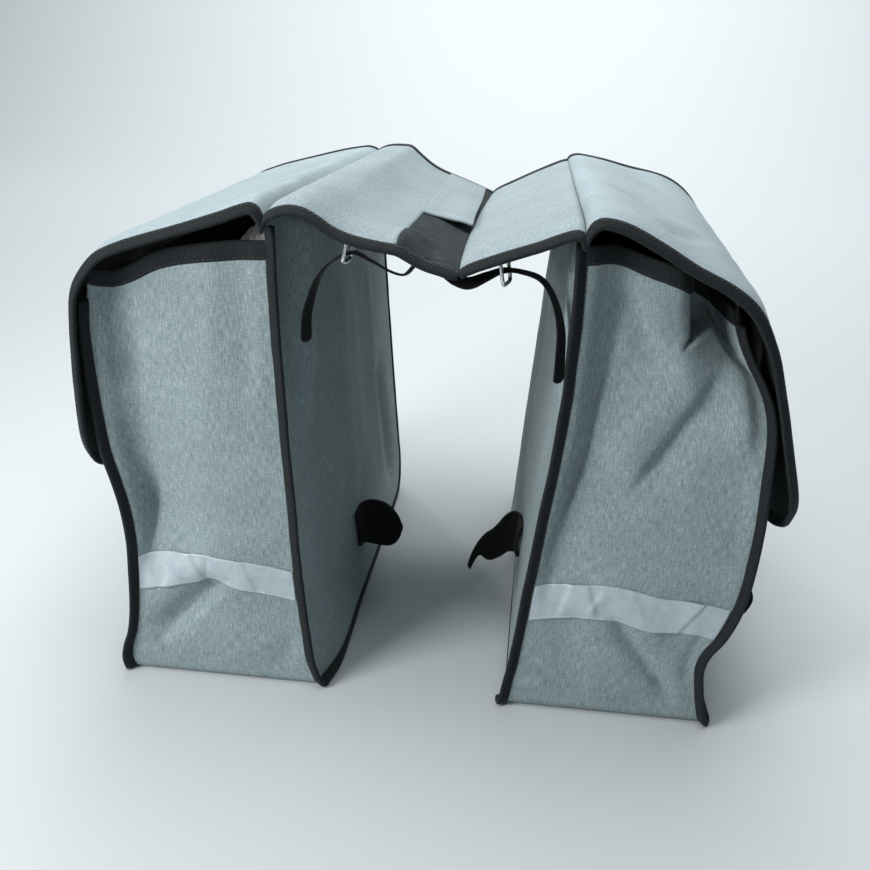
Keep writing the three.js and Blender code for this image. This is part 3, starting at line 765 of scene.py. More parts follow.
def ribbed_tape(name, dark, light, pitch):
    """Woven polypropylene tape: ribs across its width, with painted shade in the valleys and a painted dry
    sheen on the crests of its colour, and a bump of the same ribs.
    """
    made, shader = material_named(name)
    uv = node(made, "ShaderNodeUVMap", {}, uv_map="UVMap")
    ribs_inputs = {"Vector": uv.outputs["UV"], "Scale": wave_scale(pitch), "Distortion": 1.2, "Detail": 1.0}
    ribs = node(made, "ShaderNodeTexWave", ribs_inputs, bands_direction="Y")
    fuzz_scale = (pattern_scale(1.4), pattern_scale(2.9), 1)
    fuzz_at = node(made, "ShaderNodeMapping", {"Vector": uv.outputs["UV"], "Scale": fuzz_scale})
    fuzz_inputs = {"Vector": fuzz_at.outputs[0], "Scale": 1.0, "Detail": 3.0}
    fuzz = node(made, "ShaderNodeTexNoise", fuzz_inputs, noise_dimensions="2D")
    both = node(made, "ShaderNodeMix", {"Factor": 0.45, "A": ribs.outputs["Fac"], "B": fuzz.outputs[0]})
    # The ribs in the colour are painted light: darker valleys, lighter crests
    tones = node(made, "ShaderNodeValToRGB", {"Fac": both.outputs[0]})
    set_ramp(tones, [(0.25, dark), (0.75, light)])
    made.node_tree.links.new(tones.outputs[0], shader.inputs["Base Color"])
    bump = node(made, "ShaderNodeBump", {"Height": both.outputs[0], "Strength": 0.45, "Distance": 0.6 * MM})
    made.node_tree.links.new(bump.outputs[0], shader.inputs["Normal"])
    shader.inputs["Roughness"].default_value = 0.75
    shader.inputs["Specular IOR Level"].default_value = 0.2
    shader.inputs["Sheen Weight"].default_value = 0.06
    shader.inputs["Sheen Roughness"].default_value = 0.4
    return made


def reflective_film():
    """Glass-bead reflective film on tape: even silver grey, satin, with soft handling creases.
    Its beads are finer than 0.1 mm and are drawn as grains of about 0.5 mm so that they show."""
    made, shader = material_named("glass_bead_reflective_film")
    place_at = node(made, "ShaderNodeTexCoord", {})
    crease_inputs = {
        "Vector": place_at.outputs["Object"],
        "Scale": pattern_scale(10.5),
        "Detail": 2.0,
        "Distortion": 0.6,
    }
    creases = node(made, "ShaderNodeTexNoise", crease_inputs)
    bead_inputs = {"Vector": place_at.outputs["Object"], "Scale": pattern_scale(0.55), "Detail": 1.0}
    beads = node(made, "ShaderNodeTexNoise", bead_inputs)
    both = node(made, "ShaderNodeMix", {"Factor": 0.3, "A": creases.outputs[0], "B": beads.outputs[0]})
    tones = node(made, "ShaderNodeValToRGB", {"Fac": both.outputs[0]})
    set_ramp(tones, [(0.35, "#A6B2B9"), (0.65, "#B8C2C8")])
    made.node_tree.links.new(tones.outputs[0], shader.inputs["Base Color"])
    bump_inputs = {"Height": creases.outputs[0], "Strength": 0.14, "Distance": 2 * MM}
    bump = node(made, "ShaderNodeBump", bump_inputs)
    made.node_tree.links.new(bump.outputs[0], shader.inputs["Normal"])
    shader.inputs["Roughness"].default_value = 0.42
    shader.inputs["Metallic"].default_value = 0.1
    return made


def loop_pile():
    """Nylon loop pile of a hook-and-loop strip: dark grey fuzz brushed in streaks, with no gloss."""
    made, shader = material_named("nylon_loop_pile")
    uv = node(made, "ShaderNodeUVMap", {}, uv_map="UVMap")
    brushed_scale = (pattern_scale(11), pattern_scale(3.8), 1)
    brushed_at = node(made, "ShaderNodeMapping", {"Vector": uv.outputs["UV"], "Scale": brushed_scale})
    brushed_inputs = {"Vector": brushed_at.outputs[0], "Scale": 1.0, "Detail": 5.0, "Roughness": 0.7}
    brushed = node(made, "ShaderNodeTexNoise", brushed_inputs, noise_dimensions="2D")
    loop_inputs = {"Vector": uv.outputs["UV"], "Scale": pattern_scale(1.1), "Detail": 2.0}
    loops = node(made, "ShaderNodeTexNoise", loop_inputs, noise_dimensions="2D")
    both = node(made, "ShaderNodeMix", {"Factor": 0.45, "A": brushed.outputs[0], "B": loops.outputs[0]})
    tones = node(made, "ShaderNodeValToRGB", {"Fac": both.outputs[0]})
    set_ramp(tones, [(0.36, "#262B2C"), (0.64, "#3C4344")])
    made.node_tree.links.new(tones.outputs[0], shader.inputs["Base Color"])
    bump = node(made, "ShaderNodeBump", {"Height": both.outputs[0], "Strength": 0.8, "Distance": 1 * MM})
    made.node_tree.links.new(bump.outputs[0], shader.inputs["Normal"])
    shader.inputs["Roughness"].default_value = 0.95
    shader.inputs["Specular IOR Level"].default_value = 0.15
    return made


def black_fuzz():
    """Black hook-and-loop strap: short fuzz that swallows the light, with a few paler loops."""
    made, shader = material_named("black_hook_and_loop_fuzz")
    place_at = node(made, "ShaderNodeTexCoord", {})
    loop_inputs = {
        "Vector": place_at.outputs["Object"],
        "Scale": pattern_scale(1.4),
        "Detail": 3.0,
        "Roughness": 0.7,
    }
    loops = node(made, "ShaderNodeTexNoise", loop_inputs)
    tones = node(made, "ShaderNodeValToRGB", {"Fac": loops.outputs[0]})
    set_ramp(tones, [(0.4, "#050606"), (0.7, "#16181A")])
    made.node_tree.links.new(tones.outputs[0], shader.inputs["Base Color"])
    bump = node(made, "ShaderNodeBump", {"Height": loops.outputs[0], "Strength": 0.9, "Distance": 1 * MM})
    made.node_tree.links.new(bump.outputs[0], shader.inputs["Normal"])
    shader.inputs["Roughness"].default_value = 0.95
    return made


def sewing_thread(name, hex_value):
    """Polyester sewing thread: two twisted plies with a slight gloss."""
    made, shader = material_named(name)
    place_at = node(made, "ShaderNodeTexCoord", {})
    ply_inputs = {"Vector": place_at.outputs["Object"], "Scale": pattern_scale(0.4), "Detail": 1.0}
    plies = node(made, "ShaderNodeTexNoise", ply_inputs)
    bump = node(made, "ShaderNodeBump", {"Height": plies.outputs[0], "Strength": 0.4, "Distance": 0.2 * MM})
    made.node_tree.links.new(bump.outputs[0], shader.inputs["Normal"])
    shader.inputs["Base Color"].default_value = colour(hex_value)
    shader.inputs["Roughness"].default_value = 0.55
    return made


def bright_wire():
    """Nickel-plated steel wire: mirror-like, with drawing marks that spread the highlight a little."""
    made, shader = material_named("nickel_plated_steel_wire")
    place_at = node(made, "ShaderNodeTexCoord", {})
    mark_inputs = {"Vector": place_at.outputs["Object"], "Scale": pattern_scale(1.7), "Detail": 3.0}
    marks = node(made, "ShaderNodeTexNoise", mark_inputs)
    rough_inputs = {
        "Value": marks.outputs[0],
        "From Min": 0.3,
        "From Max": 0.7,
        "To Min": 0.14,
        "To Max": 0.34,
    }
    rough = node(made, "ShaderNodeMapRange", rough_inputs)
    made.node_tree.links.new(rough.outputs[0], shader.inputs["Roughness"])
    shader.inputs["Base Color"].default_value = colour("#DDDEDC")
    shader.inputs["Metallic"].default_value = 1.0
    return made


def raw_cloth():
    """Unbleached back of the coated canvas where a raw edge shows: pale grey and fibrous."""
    made, shader = material_named("raw_cloth_edge")
    place_at = node(made, "ShaderNodeTexCoord", {})
    fibre_inputs = {"Vector": place_at.outputs["Object"], "Scale": pattern_scale(0.9), "Detail": 3.0}
    fibres = node(made, "ShaderNodeTexNoise", fibre_inputs)
    tones = node(made, "ShaderNodeValToRGB", {"Fac": fibres.outputs[0]})
    set_ramp(tones, [(0.35, "#777876"), (0.65, "#C2C3C0")])
    made.node_tree.links.new(tones.outputs[0], shader.inputs["Base Color"])
    shader.inputs["Roughness"].default_value = 0.9
    return made


CANVAS_YARN = [(0.3, "#6C7F84"), (0.46, "#839396"), (0.54, "#8E9C9F"), (0.7, "#A5B1B3")]
CANVAS = melange_canvas("melange_polyester_canvas", CANVAS_YARN, 0.5)
# Painted light: the top gets a paler, more even copy of the yarn for the light that falls on it from above,
# and a weaker relief
TOP_LIT_YARN = [(0.3, "#7F9198"), (0.46, "#8D9DA2"), (0.54, "#95A4A9"), (0.7, "#A5B2B6")]
TOP_LIT_CANVAS = melange_canvas("top_lit_melange_polyester_canvas", TOP_LIT_YARN, 0.3)
# Painted light: the bridge, which also faces up, gets its own more even copy of the yarn, darker than the
# top's
BRIDGE_LIT_YARN = [(0.3, "#77888F"), (0.46, "#859498"), (0.54, "#8C9A9F"), (0.7, "#9BA7AB")]
BRIDGE_LIT_CANVAS = melange_canvas("bridge_lit_melange_polyester_canvas", BRIDGE_LIT_YARN, 0.3)
COATING = dark_coating()
# Each tape's dark and light colours are the painted shade of its rib valleys and the painted sheen of its
# crests
TAPE = ribbed_tape("black_ribbed_binding_tape", "#101415", "#262B2D", 1.5)
WEBBING = ribbed_tape("black_polypropylene_webbing", "#070808", "#191B1C", 1.2)
FILM = reflective_film()
PILE = loop_pile()
FUZZ = black_fuzz()
PALE_THREAD = sewing_thread("pale_sewing_thread", "#C2CACD")
DARK_THREAD = sewing_thread("dark_sewing_thread", "#33383A")
WIRE = bright_wire()
RAW_EDGE = raw_cloth()


def smooth(rows, column, at):
    """Smooth values of one column of a table, at places along its first column."""
    table = np.array(rows, float)
    x = table[:, 0]
    value = table[:, column]
    slope = np.gradient(value, x, edge_order=1)
    slope[1:-1] = (value[2:] - value[:-2]) / (x[2:] - x[:-2])
    place = np.clip(at, x[0], x[-1])
    i = np.clip(np.searchsorted(x, place, side="right") - 1, 0, len(x) - 2)
    span = x[i + 1] - x[i]
    part = (place - x[i]) / span
    rise = value[i + 1] - value[i]
    a = slope[i] * span - rise
    b = rise - slope[i + 1] * span
    return value[i] + part * rise + part * (1 - part) * (a * (1 - part) + b * part)


def along_course(points, part):
    """Places on the smooth line through a row of points, by the part of its length run."""
    points = np.array(points, float)
    run = np.concatenate([[0], np.cumsum(np.linalg.norm(np.diff(points, axis=0), axis=1))])
    rows = np.column_stack([run / run[-1], points])
    return np.stack([smooth(rows, k + 1, part) for k in range(points.shape[1])], axis=-1)


def lerp(a, b, part):
    return a + (b - a) * part


def smoothstep(value, low, high):
    part = np.clip((value - low) / (high - low), 0, 1)
    return part * part * (3 - 2 * part)


def fade(distance):
    """How much of a fold is left this far from the edge it dies away at."""
    return smoothstep(distance, 0, FOLD_FADE)


def folds(table, across, up):
    """Sum of a table's folds at places in a plane."""
    depth = np.zeros_like(across, dtype=float)
    for from_across, from_up, to_across, to_up, width, amount, turn in table:
        reach = np.array([to_across - from_across, to_up - from_up])
        part = ((across - from_across) * reach[0] + (up - from_up) * reach[1]) / (reach @ reach)
        part = np.clip(part, 0, 1)
        away = np.hypot(across - from_across - part * reach[0], up - from_up - part * reach[1])
        depth += amount * np.exp(-((away / width) ** turn))
    return depth


def creases(table, across, up):
    """Sum of a table's creases at places in a plane. Each dies away towards its ends."""
    depth = np.zeros_like(across, dtype=float)
    for from_across, from_up, to_across, to_up, inner, outer, amount in table:
        reach = np.array([to_across - from_across, to_up - from_up])
        length = np.hypot(*reach)
        part = ((across - from_across) * reach[0] + (up - from_up) * reach[1]) / length ** 2
        away = (reach[0] * (up - from_up) - reach[1] * (across - from_across)) / length
        wall = np.exp(-((away / np.where(away < 0, inner, outer)) ** 2))
        depth += amount * wall * smoothstep(part, 0, CREASE_END) * smoothstep(part, 1, 1 - CREASE_END)
    return depth


def groove(table, across, up):
    """Depth of one groove at places in a plane."""
    away = across - smooth(table, 1, up)
    width = np.where(away < 0, smooth(table, 2, up), smooth(table, 3, up))
    return smooth(table, 4, up) * np.exp(-((away / width) ** 2))


def hollow(out, z):
    """Depth of the right gusset's fallen corner."""
    inside = out - np.interp(z, *np.transpose(HOLLOW_SIDE))
    above = z - np.interp(out, *np.transpose(HOLLOW_LIP))
    wall = smoothstep(inside, -HOLLOW_WALL / 2, HOLLOW_WALL / 2)
    return -HOLLOW_DEPTH * wall * smoothstep(above, 0, HOLLOW_SLOPE)


def unevenness(across, up, length, seed):
    """Smooth random swelling of sewn cloth, between about -1 and 1; length is that of one swelling."""
    flat_across = np.ravel(across) / length
    flat_up = np.ravel(up) / length
    values = [noise.noise(Vector((a, u, seed))) for a, u in zip(flat_across, flat_up)]
    return np.reshape(values, np.shape(across))


def place(side, out, y, z):
    """Places by their distance out from the middle on one side."""
    out, y, z = np.broadcast_arrays(out, y, z)
    return np.stack([MIDDLE_X + SIDES[side] * out, y, z], axis=-1)


def unit(vectors):
    return vectors / np.linalg.norm(vectors, axis=-1, keepdims=True)


def finished(piece, materials, stands_for=()):
    """Dresses a piece, shades it smooth and joins it to the frame."""
    piece.data.materials.clear()
    for material in materials:
        piece.data.materials.append(material)
    piece.data.polygons.foreach_set("use_smooth", [True] * len(piece.data.polygons))
    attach(piece, "root")
    if stands_for:
        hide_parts(*stands_for)
    return piece


def grid(name, columns, rows, point_at):
    """A grid laid over a surface. point_at gives the places for columns and rows, in millimetres.
    Its UV map holds the cloth's own width and length in metres."""
    across = len(columns) - 1
    along = len(rows) - 1
    bpy.ops.object.select_all(action="DESELECT")
    bpy.ops.mesh.primitive_grid_add(x_subdivisions=across, y_subdivisions=along, size=2)
    piece = bpy.context.object
    piece.name = name
    mesh = piece.data
    flat = np.empty(len(mesh.vertices) * 3)
    mesh.vertices.foreach_get("co", flat)
    flat = flat.reshape(-1, 3)
    column = np.rint((flat[:, 0] + 1) / 2 * across).astype(int)
    row = np.rint((flat[:, 1] + 1) / 2 * along).astype(int)
    places = point_at(np.array(columns, float)[column], np.array(rows, float)[row]) * MM
    mesh.vertices.foreach_set("co", places.ravel())
    table = np.empty((along + 1, across + 1, 3))
    table[row, column] = places
    widths = np.linalg.norm(np.diff(table, axis=1), axis=2).mean(axis=0)
    lengths = np.linalg.norm(np.diff(table, axis=0), axis=2).mean(axis=1)
    u = np.concatenate([[0], np.cumsum(widths)])
    v = np.concatenate([[0], np.cumsum(lengths)])
    corner = np.empty(len(mesh.loops), int)
    mesh.loops.foreach_get("vertex_index", corner)
    uv = np.column_stack([u[column[corner]], v[row[corner]]])
    mesh.uv_layers["UVMap"].data.foreach_set("uv", uv.ravel())
    mesh.update()
    return piece


def thicken(piece, thickness):
    """Gives a sheet its thickness, half to each side, with a second finish inside."""
    bpy.context.view_layer.objects.active = piece
    bpy.ops.object.modifier_add(type="SOLIDIFY")
    wall = piece.modifiers[-1]
    wall.thickness = thickness * MM
    wall.offset = 0
    wall.material_offset = 1
    bpy.ops.object.modifier_apply(modifier=wall.name)
    return piece


def cloth(
    name, columns, rows, point_at, thickness=CLOTH, materials=None, stands_for=None
):
    """A wall of cloth of one thickness. Its materials are those of the outside and of the inside."""
    materials = materials or [CANVAS, COATING]
    both_sides = [materials[0], materials[-1]]
    piece = grid(name, columns, rows, point_at)
    for material in both_sides:
        piece.data.materials.append(material)
    thicken(piece, thickness)
    index = np.empty(len(piece.data.polygons), int)
    piece.data.polygons.foreach_get("material_index", index)
    finished(piece, both_sides, (name,) if stands_for is None else stands_for)
    piece.data.polygons.foreach_set("material_index", index)
    return piece


# Section of a folded tape: part of its width, then part of its thickness
TAPE_SECTION = np.array([
    (0, 0.34),
    (0.05, 0.46),
    (0.3, 0.52),
    (0.6, 0.53),
    (0.84, 0.47),
    (0.95, 0.32),
    (1, 0),
    (0.95, -0.32),
    (0.84, -0.47),
    (0.6, -0.53),
    (0.3, -0.52),
    (0.05, -0.46),
    (0, -0.34),
    (0, 0.34),
])
TAPE_WAVE = 0.35
TAPE_WAVE_LENGTH = 22
TAPE_SPREAD = 0.1  # part by which the width varies
STITCH_INSET = 1.6
STITCH_LEVEL = 0.52  # part of the thickness at which the stitches lie
MERGE_DISTANCE = 0.01


def tape(name, at, across, width, thickness, finish=None, stands_for=None, seed=0.0):
    """A tape swept along stations: at is its inner edge and across the direction of its width.
    Gives the piece and the lines along which it is stitched, on its upper and lower face."""
    width = np.broadcast_to(width, len(at))
    ahead = np.gradient(at, axis=0)
    normal = unit(np.cross(ahead, across))
    run = np.concatenate([[0], np.cumsum(np.linalg.norm(np.diff(at, axis=0), axis=1))])
    sway = TAPE_WAVE * unevenness(run, np.full(len(run), seed), TAPE_WAVE_LENGTH, seed)
    spread = unevenness(run, np.full(len(run), seed + 5.0), 2 * TAPE_WAVE_LENGTH, seed)
    spread = width * (1 + TAPE_SPREAD * spread)

    def point_at(column, row):
        j = row.astype(int)
        section = TAPE_SECTION[column.astype(int)]
        level = section[:, 1] * thickness + sway[j]
        return at[j] + across[j] * (section[:, 0] * spread[j])[:, None] + normal[j] * level[:, None]

    piece = grid(name, np.arange(len(TAPE_SECTION)), np.arange(len(at)), point_at)
    bpy.ops.object.mode_set(mode="EDIT")
    bpy.ops.mesh.select_all(action="SELECT")
    bpy.ops.mesh.remove_doubles(threshold=MERGE_DISTANCE * MM)
    bpy.ops.mesh.select_all(action="DESELECT")
    bpy.ops.mesh.select_non_manifold()
    bpy.ops.mesh.fill_holes(sides=0)
    bpy.ops.mesh.select_all(action="SELECT")
    bpy.ops.mesh.normals_make_consistent(inside=False)
    bpy.ops.object.mode_set(mode="OBJECT")
    finished(piece, [finish or TAPE], (name,) if stands_for is None else stands_for)
    level = thickness * STITCH_LEVEL
    lines = [at + across * STITCH_INSET + normal * (sway + sign * level)[:, None] for sign in (1, -1)]
    return piece, lines


STITCH_PITCH = 3.4
STITCH_LENGTH = 2.6
STITCH_RADIUS = 0.32


def stitches(name, lines, thread, radius=STITCH_RADIUS):
    """Rows of short stitches that follow lines, as one piece."""
    rows = []
    for line in lines:
        guide_data = bpy.data.curves.new("stitch_line", "CURVE")
        guide_data.dimensions = "3D"
        spline = guide_data.splines.new("POLY")
        spline.points.add(len(line) - 1)
        spline.points.foreach_set("co", np.column_stack([line * MM, np.ones(len(line))]).ravel())
        guide = bpy.data.objects.new("stitch_line", guide_data)
        bpy.context.scene.collection.objects.link(guide)
        bpy.ops.object.select_all(action="DESELECT")
        bpy.ops.mesh.primitive_uv_sphere_add(segments=6, ring_count=4, radius=1)
        row = bpy.context.object
        bpy.ops.object.mode_set(mode="EDIT")
        size = (STITCH_LENGTH / 2 * MM, radius * MM, radius * MM)
        bpy.ops.transform.rotate(value=math.pi / 2, orient_axis="Y", center_override=(0, 0, 0))
        bpy.ops.transform.resize(value=size, center_override=(0, 0, 0))
        bpy.ops.transform.translate(value=(STITCH_PITCH / 2 * MM, 0, 0))
        bpy.ops.object.mode_set(mode="OBJECT")
        bpy.ops.object.modifier_add(type="ARRAY")
        repeat = row.modifiers[-1]
        repeat.fit_type = "FIT_CURVE"
        repeat.curve = guide
        repeat.use_relative_offset = False
        repeat.use_constant_offset = True
        repeat.constant_offset_displace = (STITCH_PITCH * MM, 0, 0)
        bpy.ops.object.modifier_add(type="CURVE")
        follow = row.modifiers[-1]
        follow.object = guide
        bpy.ops.object.modifier_apply(modifier=repeat.name)
        bpy.ops.object.modifier_apply(modifier=follow.name)
        bpy.data.objects.remove(guide)
        rows.append(row)
    bpy.ops.object.select_all(action="DESELECT")
    for row in rows:
        row.select_set(True)
    bpy.context.view_layer.objects.active = rows[0]
    if len(rows) > 1:
        bpy.ops.object.join()
    rows[0].name = name
    return finished(rows[0], [thread])


# Walls of the bags
def seam_out(side, column, y, z):
    """Distance out of a seam or panel; the column says whether back or front."""
    near = smooth(NEAR_SEAMS[side], column, z)
    far = smooth(FAR_SEAMS[side], column, z)
    out = lerp(near, far, np.clip(y / BAG_LENGTH + 0.5, 0, 1))
    if (side, column) == SWUNG_SEAM:
        swing = smooth(FOOT_SWING, 1, np.clip(y, -HALF_LENGTH, HALF_LENGTH))
        out = out - swing * (1 - smoothstep(z, 0, FOOT_SWING_HEIGHT))
    return out


def near_y(side, column, z):
    """Place along the bag of the near end of a seam."""
    return -HALF_LENGTH - smooth(NEAR_FACE[side], column, z)


def corner_inset(above, radius):
    """How far a rounded lower corner cuts in at a height above the lower edge."""
    left = np.clip(radius - above, 0, radius)
    return radius - np.sqrt(radius ** 2 - left ** 2)


# Unevenness of the walls: how far a swelling stands out and how long it is
PANEL_SWELLING = 0.7
PANEL_SWELLING_LENGTH = 34
GUSSET_SWELLING = 0.9
GUSSET_SWELLING_LENGTH = 30
GUSSET_RIPPLE = 0.35
GUSSET_RIPPLE_LENGTH = 12
FAR_SWELLING = 1.2
FAR_SWELLING_LENGTH = 34


def panel_swell(side, column, y, z):
    edge = fade(HALF_LENGTH - np.abs(y)) * fade(z) * fade(SEAM_HEIGHT - z)
    rough = PANEL_SWELLING * unevenness(y, z, PANEL_SWELLING_LENGTH, 2.0 * column + SIDES[side])
    if column == BACK:
        swell = folds(BACK_FOLDS[side], y, z) + creases(BACK_CREASES[side], y, z)
        return (rough - swell) * edge
    dome = FRONT_SWELL * np.cos(y / BAG_LENGTH * math.pi) * np.sin(z / SEAM_HEIGHT * math.pi)
    return (dome + rough + folds(FRONT_FOLDS[side], y, z)) * edge


def panel_point(side, column, y, z, off=0.0):
    """Places on a panel's cloth, or further out from the middle."""
    return place(side, seam_out(side, column, y, z) + panel_swell(side, column, y, z) + off, y, z)


PANEL_SETBACK = 0.6
PANEL_STEP = 4.0
PANEL_COLUMNS = 92
CORNER_STEPS = np.array([0, 0.01, 0.04, 0.09, 0.16, 0.26, 0.38, 0.5, 0.65, 0.8, 1])


def panel(side, column, top):
    bottom = FLOOR + PANEL_SETBACK
    half = HALF_LENGTH - PANEL_SETBACK
    outward = SIDES[side] * (-1 if column == BACK else 1)

    def point_at(u, z):
        near_end = near_y(side, column, z) + PANEL_SETBACK + corner_inset(z - bottom, NEAR_RADIUS)
        far_end = half - corner_inset(z - bottom, FAR_RADIUS)
        y = lerp(near_end, far_end, (outward * u + 1) / 2)
        return panel_point(side, column, y, z)

    low_steps = bottom + FAR_RADIUS * CORNER_STEPS
    rows = np.concatenate([low_steps, np.arange(low_steps[-1] + PANEL_STEP, top - 1, PANEL_STEP), [top]])
    names = {BACK: "back_panel", FRONT: "front_panel"}
    return cloth(f"{side}_{names[column]}", np.linspace(-1, 1, PANEL_COLUMNS), rows, point_at)


GUSSET_SETBACK = 0.6
FOLD_FOOT = 6  # the gussets' folds start this far above the floor
FALL_START = 0.6  # part of the way across from which the front corner falls in


def near_gusset_point(side, part, z, lift=0.0):
    back = seam_out(side, BACK, -HALF_LENGTH, z)
    front = seam_out(side, FRONT, -HALF_LENGTH, z)
    out = lerp(back + GUSSET_SETBACK, front - GUSSET_SETBACK, part)
    edge = fade(out - back) * fade(front - out) * fade(z - FOLD_FOOT)
    seed = 11.0 + SIDES[side]
    rough = GUSSET_SWELLING * unevenness(out, z, GUSSET_SWELLING_LENGTH, seed)
    rough = rough + GUSSET_RIPPLE * unevenness(out, z, GUSSET_RIPPLE_LENGTH, seed + 3.0)
    bulge = folds(GUSSET_FOLDS[side], out, z) + creases(GUSSET_CREASES[side], out, z) + rough
    bulge = bulge + groove(GUSSET_GROOVES[side], out, z) + groove(GUSSET_LINES[side], out, z)
    if side == "right":
        bulge = bulge + hollow(out, z)
    bulge = bulge * edge
    face = lerp(near_y(side, BACK, z), near_y(side, FRONT, z), smoothstep(part, FALL_START, 1))
    return place(side, out, face - bulge - lift, z)


def far_gusset_point(side, part, z, lift=0.0):
    back = seam_out(side, BACK, HALF_LENGTH, z) + GUSSET_SETBACK
    front = seam_out(side, FRONT, HALF_LENGTH, z) - GUSSET_SETBACK
    out = lerp(back, front, part)
    rise = np.clip((z - FAR_RADIUS) / (SEAM_HEIGHT - 2 * FAR_RADIUS), 0, 1)
    swell = FAR_BULGE * np.sin(part * math.pi) * np.sin(rise * math.pi)
    rough = FAR_SWELLING * unevenness(out, z, FAR_SWELLING_LENGTH, 21.0 + SIDES[side])
    rough = rough * np.sin(rise * math.pi)
    sunk = groove(FAR_GROOVES[side], out, z) + creases(FAR_CREASES[side], out, z)
    edge = fade(out - back) * fade(front - out)
    return place(side, out, HALF_LENGTH + swell + (rough + sunk) * edge + lift, z)


NEAR_ARC = NEAR_RADIUS * math.pi / 2
FAR_ARC = FAR_RADIUS * math.pi / 2
FLOOR_RUN = BAG_LENGTH + FOOT - NEAR_RADIUS - FAR_RADIUS
LOWER_RUN = NEAR_ARC + FLOOR_RUN + FAR_ARC


def lower_course(part):
    """Place along, height and turn of the lower course: round the near corner, along the floor and
    round the far corner. The turn is 0 on the near side and a half turn on the far side."""
    run = part * LOWER_RUN
    near_turn = np.clip(run / NEAR_RADIUS, 0, math.pi / 2)
    far_turn = np.clip((run - NEAR_ARC - FLOOR_RUN) / FAR_RADIUS, 0, math.pi / 2)
    flat = np.clip(run - NEAR_ARC, 0, FLOOR_RUN)
    y = -HALF_LENGTH - FOOT + NEAR_RADIUS * (1 - np.cos(near_turn)) + flat + FAR_RADIUS * np.sin(far_turn)
    near_z = NEAR_RADIUS * (1 - np.sin(near_turn))
    far_z = FAR_RADIUS * (1 - np.cos(far_turn))
    return y, FLOOR + near_z + far_z, near_turn + far_turn


GUSSET_COLUMNS = 112
NEAR_ROWS = 150
FLOOR_ROWS = 100
FAR_ROWS = 80


def gusset(side):
    """One strip: its run is 0 to 1 down the near side, to 2 along the floor, to 3 up the far side."""
    def point_at(column, run):
        part = column if SIDES[side] > 0 else 1 - column
        top = smooth(MOUTH[side], 1, part) - HEM / 2
        near = near_gusset_point(side, part, lerp(top, FLOOR + NEAR_RADIUS, np.clip(run, 0, 1)))
        y, z, _ = lower_course(np.clip(run - 1, 0, 1))
        back = seam_out(side, BACK, y, z) + GUSSET_SETBACK
        front = seam_out(side, FRONT, y, z) - GUSSET_SETBACK
        lower = place(side, lerp(back, front, part), y, z)
        far_top = smooth(FAR_MOUTH, 1, part) - HEM / 2
        far = far_gusset_point(side, part, lerp(FLOOR + FAR_RADIUS, far_top, np.clip(run - 2, 0, 1)))
        below = np.where((run < 2)[:, None], lower, far)
        return np.where((run < 1)[:, None], near, below)

    rows = np.concatenate([
        np.linspace(0, 1, NEAR_ROWS),
        np.linspace(1, 2, FLOOR_ROWS)[1:],
        np.linspace(2, 3, FAR_ROWS)[1:],
    ])
    return cloth(f"{side}_gusset", np.linspace(0, 1, GUSSET_COLUMNS), rows[::-1], point_at)


# Numbers of stations along the hems
NEAR_HEM_STATIONS = 110
FAR_HEM_STATIONS = 50
FRONT_HEM_STATIONS = 90
FRONT_HEM_SETBACK = 1


def near_hem(side):
    part = np.linspace(0, 1, NEAR_HEM_STATIONS)
    top = smooth(MOUTH[side], 1, part)
    lower = near_gusset_point(side, part, top - HEM)
    upper = near_gusset_point(side, part, top)
    width = np.linalg.norm(upper - lower, axis=1)
    across = unit(upper - lower)
    return tape(f"{side}_near_hem", lower, across, width, HEM_THICKNESS, seed=31.0 + SIDES[side])


def far_hem(side):
    part = np.linspace(0, 1, FAR_HEM_STATIONS)
    top = smooth(FAR_MOUTH, 1, part)
    lower = far_gusset_point(side, part, top - HEM)
    upper = far_gusset_point(side, part, top)
    across = unit(upper - lower)
    return tape(f"{side}_far_hem", lower, across, HEM, HEM_THICKNESS, seed=33.0 + SIDES[side])


def front_hem(side):
    near_end = near_y(side, FRONT, FRONT_TOP - HEM) + FRONT_HEM_SETBACK
    y = np.linspace(near_end, HALF_LENGTH - FRONT_HEM_SETBACK, FRONT_HEM_STATIONS)
    lower_z = np.full(len(y), FRONT_TOP - HEM)
    lower = panel_point(side, FRONT, y, lower_z)
    upper = panel_point(side, FRONT, y, lower_z + HEM)
    across = unit(upper - lower)
    return tape(f"{side}_front_hem", lower, across, HEM, HEM_THICKNESS, seed=35.0 + SIDES[side])


REFLECTOR_LIFT = 1.3
REFLECTOR_THICKNESS = 0.6
STRIP_WIDTH = 25
STRIP_MARGIN = 0.012  # part of the way in at which the strip starts and ends
STRIP_STITCH = 1.6
STITCHED_ROWS = (STRIP_STITCH / STRIP_WIDTH, 1 - STRIP_STITCH / STRIP_WIDTH)
STITCHED_PART = 0.03  # part of the way in at which the stitches start and end
NEAR_STRIP_COLUMNS = 110
NEAR_STRIP_ROWS = 26
FAR_STRIP_COLUMNS = 70
FAR_STRIP_ROWS = 14


def reflector(name, strip_point, turned, columns, rows, facing):
    """A reflective strip and its two lines of stitches, on the side that faces along Y."""
    def point_at(column, row):
        part = 1 - column if turned else column
        return strip_point(part, row)

    across = np.linspace(STRIP_MARGIN, 1 - STRIP_MARGIN, columns)
    up = np.linspace(0, 1, rows)
    piece = cloth(name, across, up, point_at, REFLECTOR_THICKNESS, [FILM])
    stitched = np.linspace(STITCHED_PART, 1 - STITCHED_PART, columns)
    lines = []
    for row in STITCHED_ROWS:
        line = strip_point(stitched, np.full(len(stitched), row))
        line[:, 1] += facing * REFLECTOR_THICKNESS / 2
        lines.append(line)
    stitches(f"{name}_stitches", lines, PALE_THREAD)
    return piece


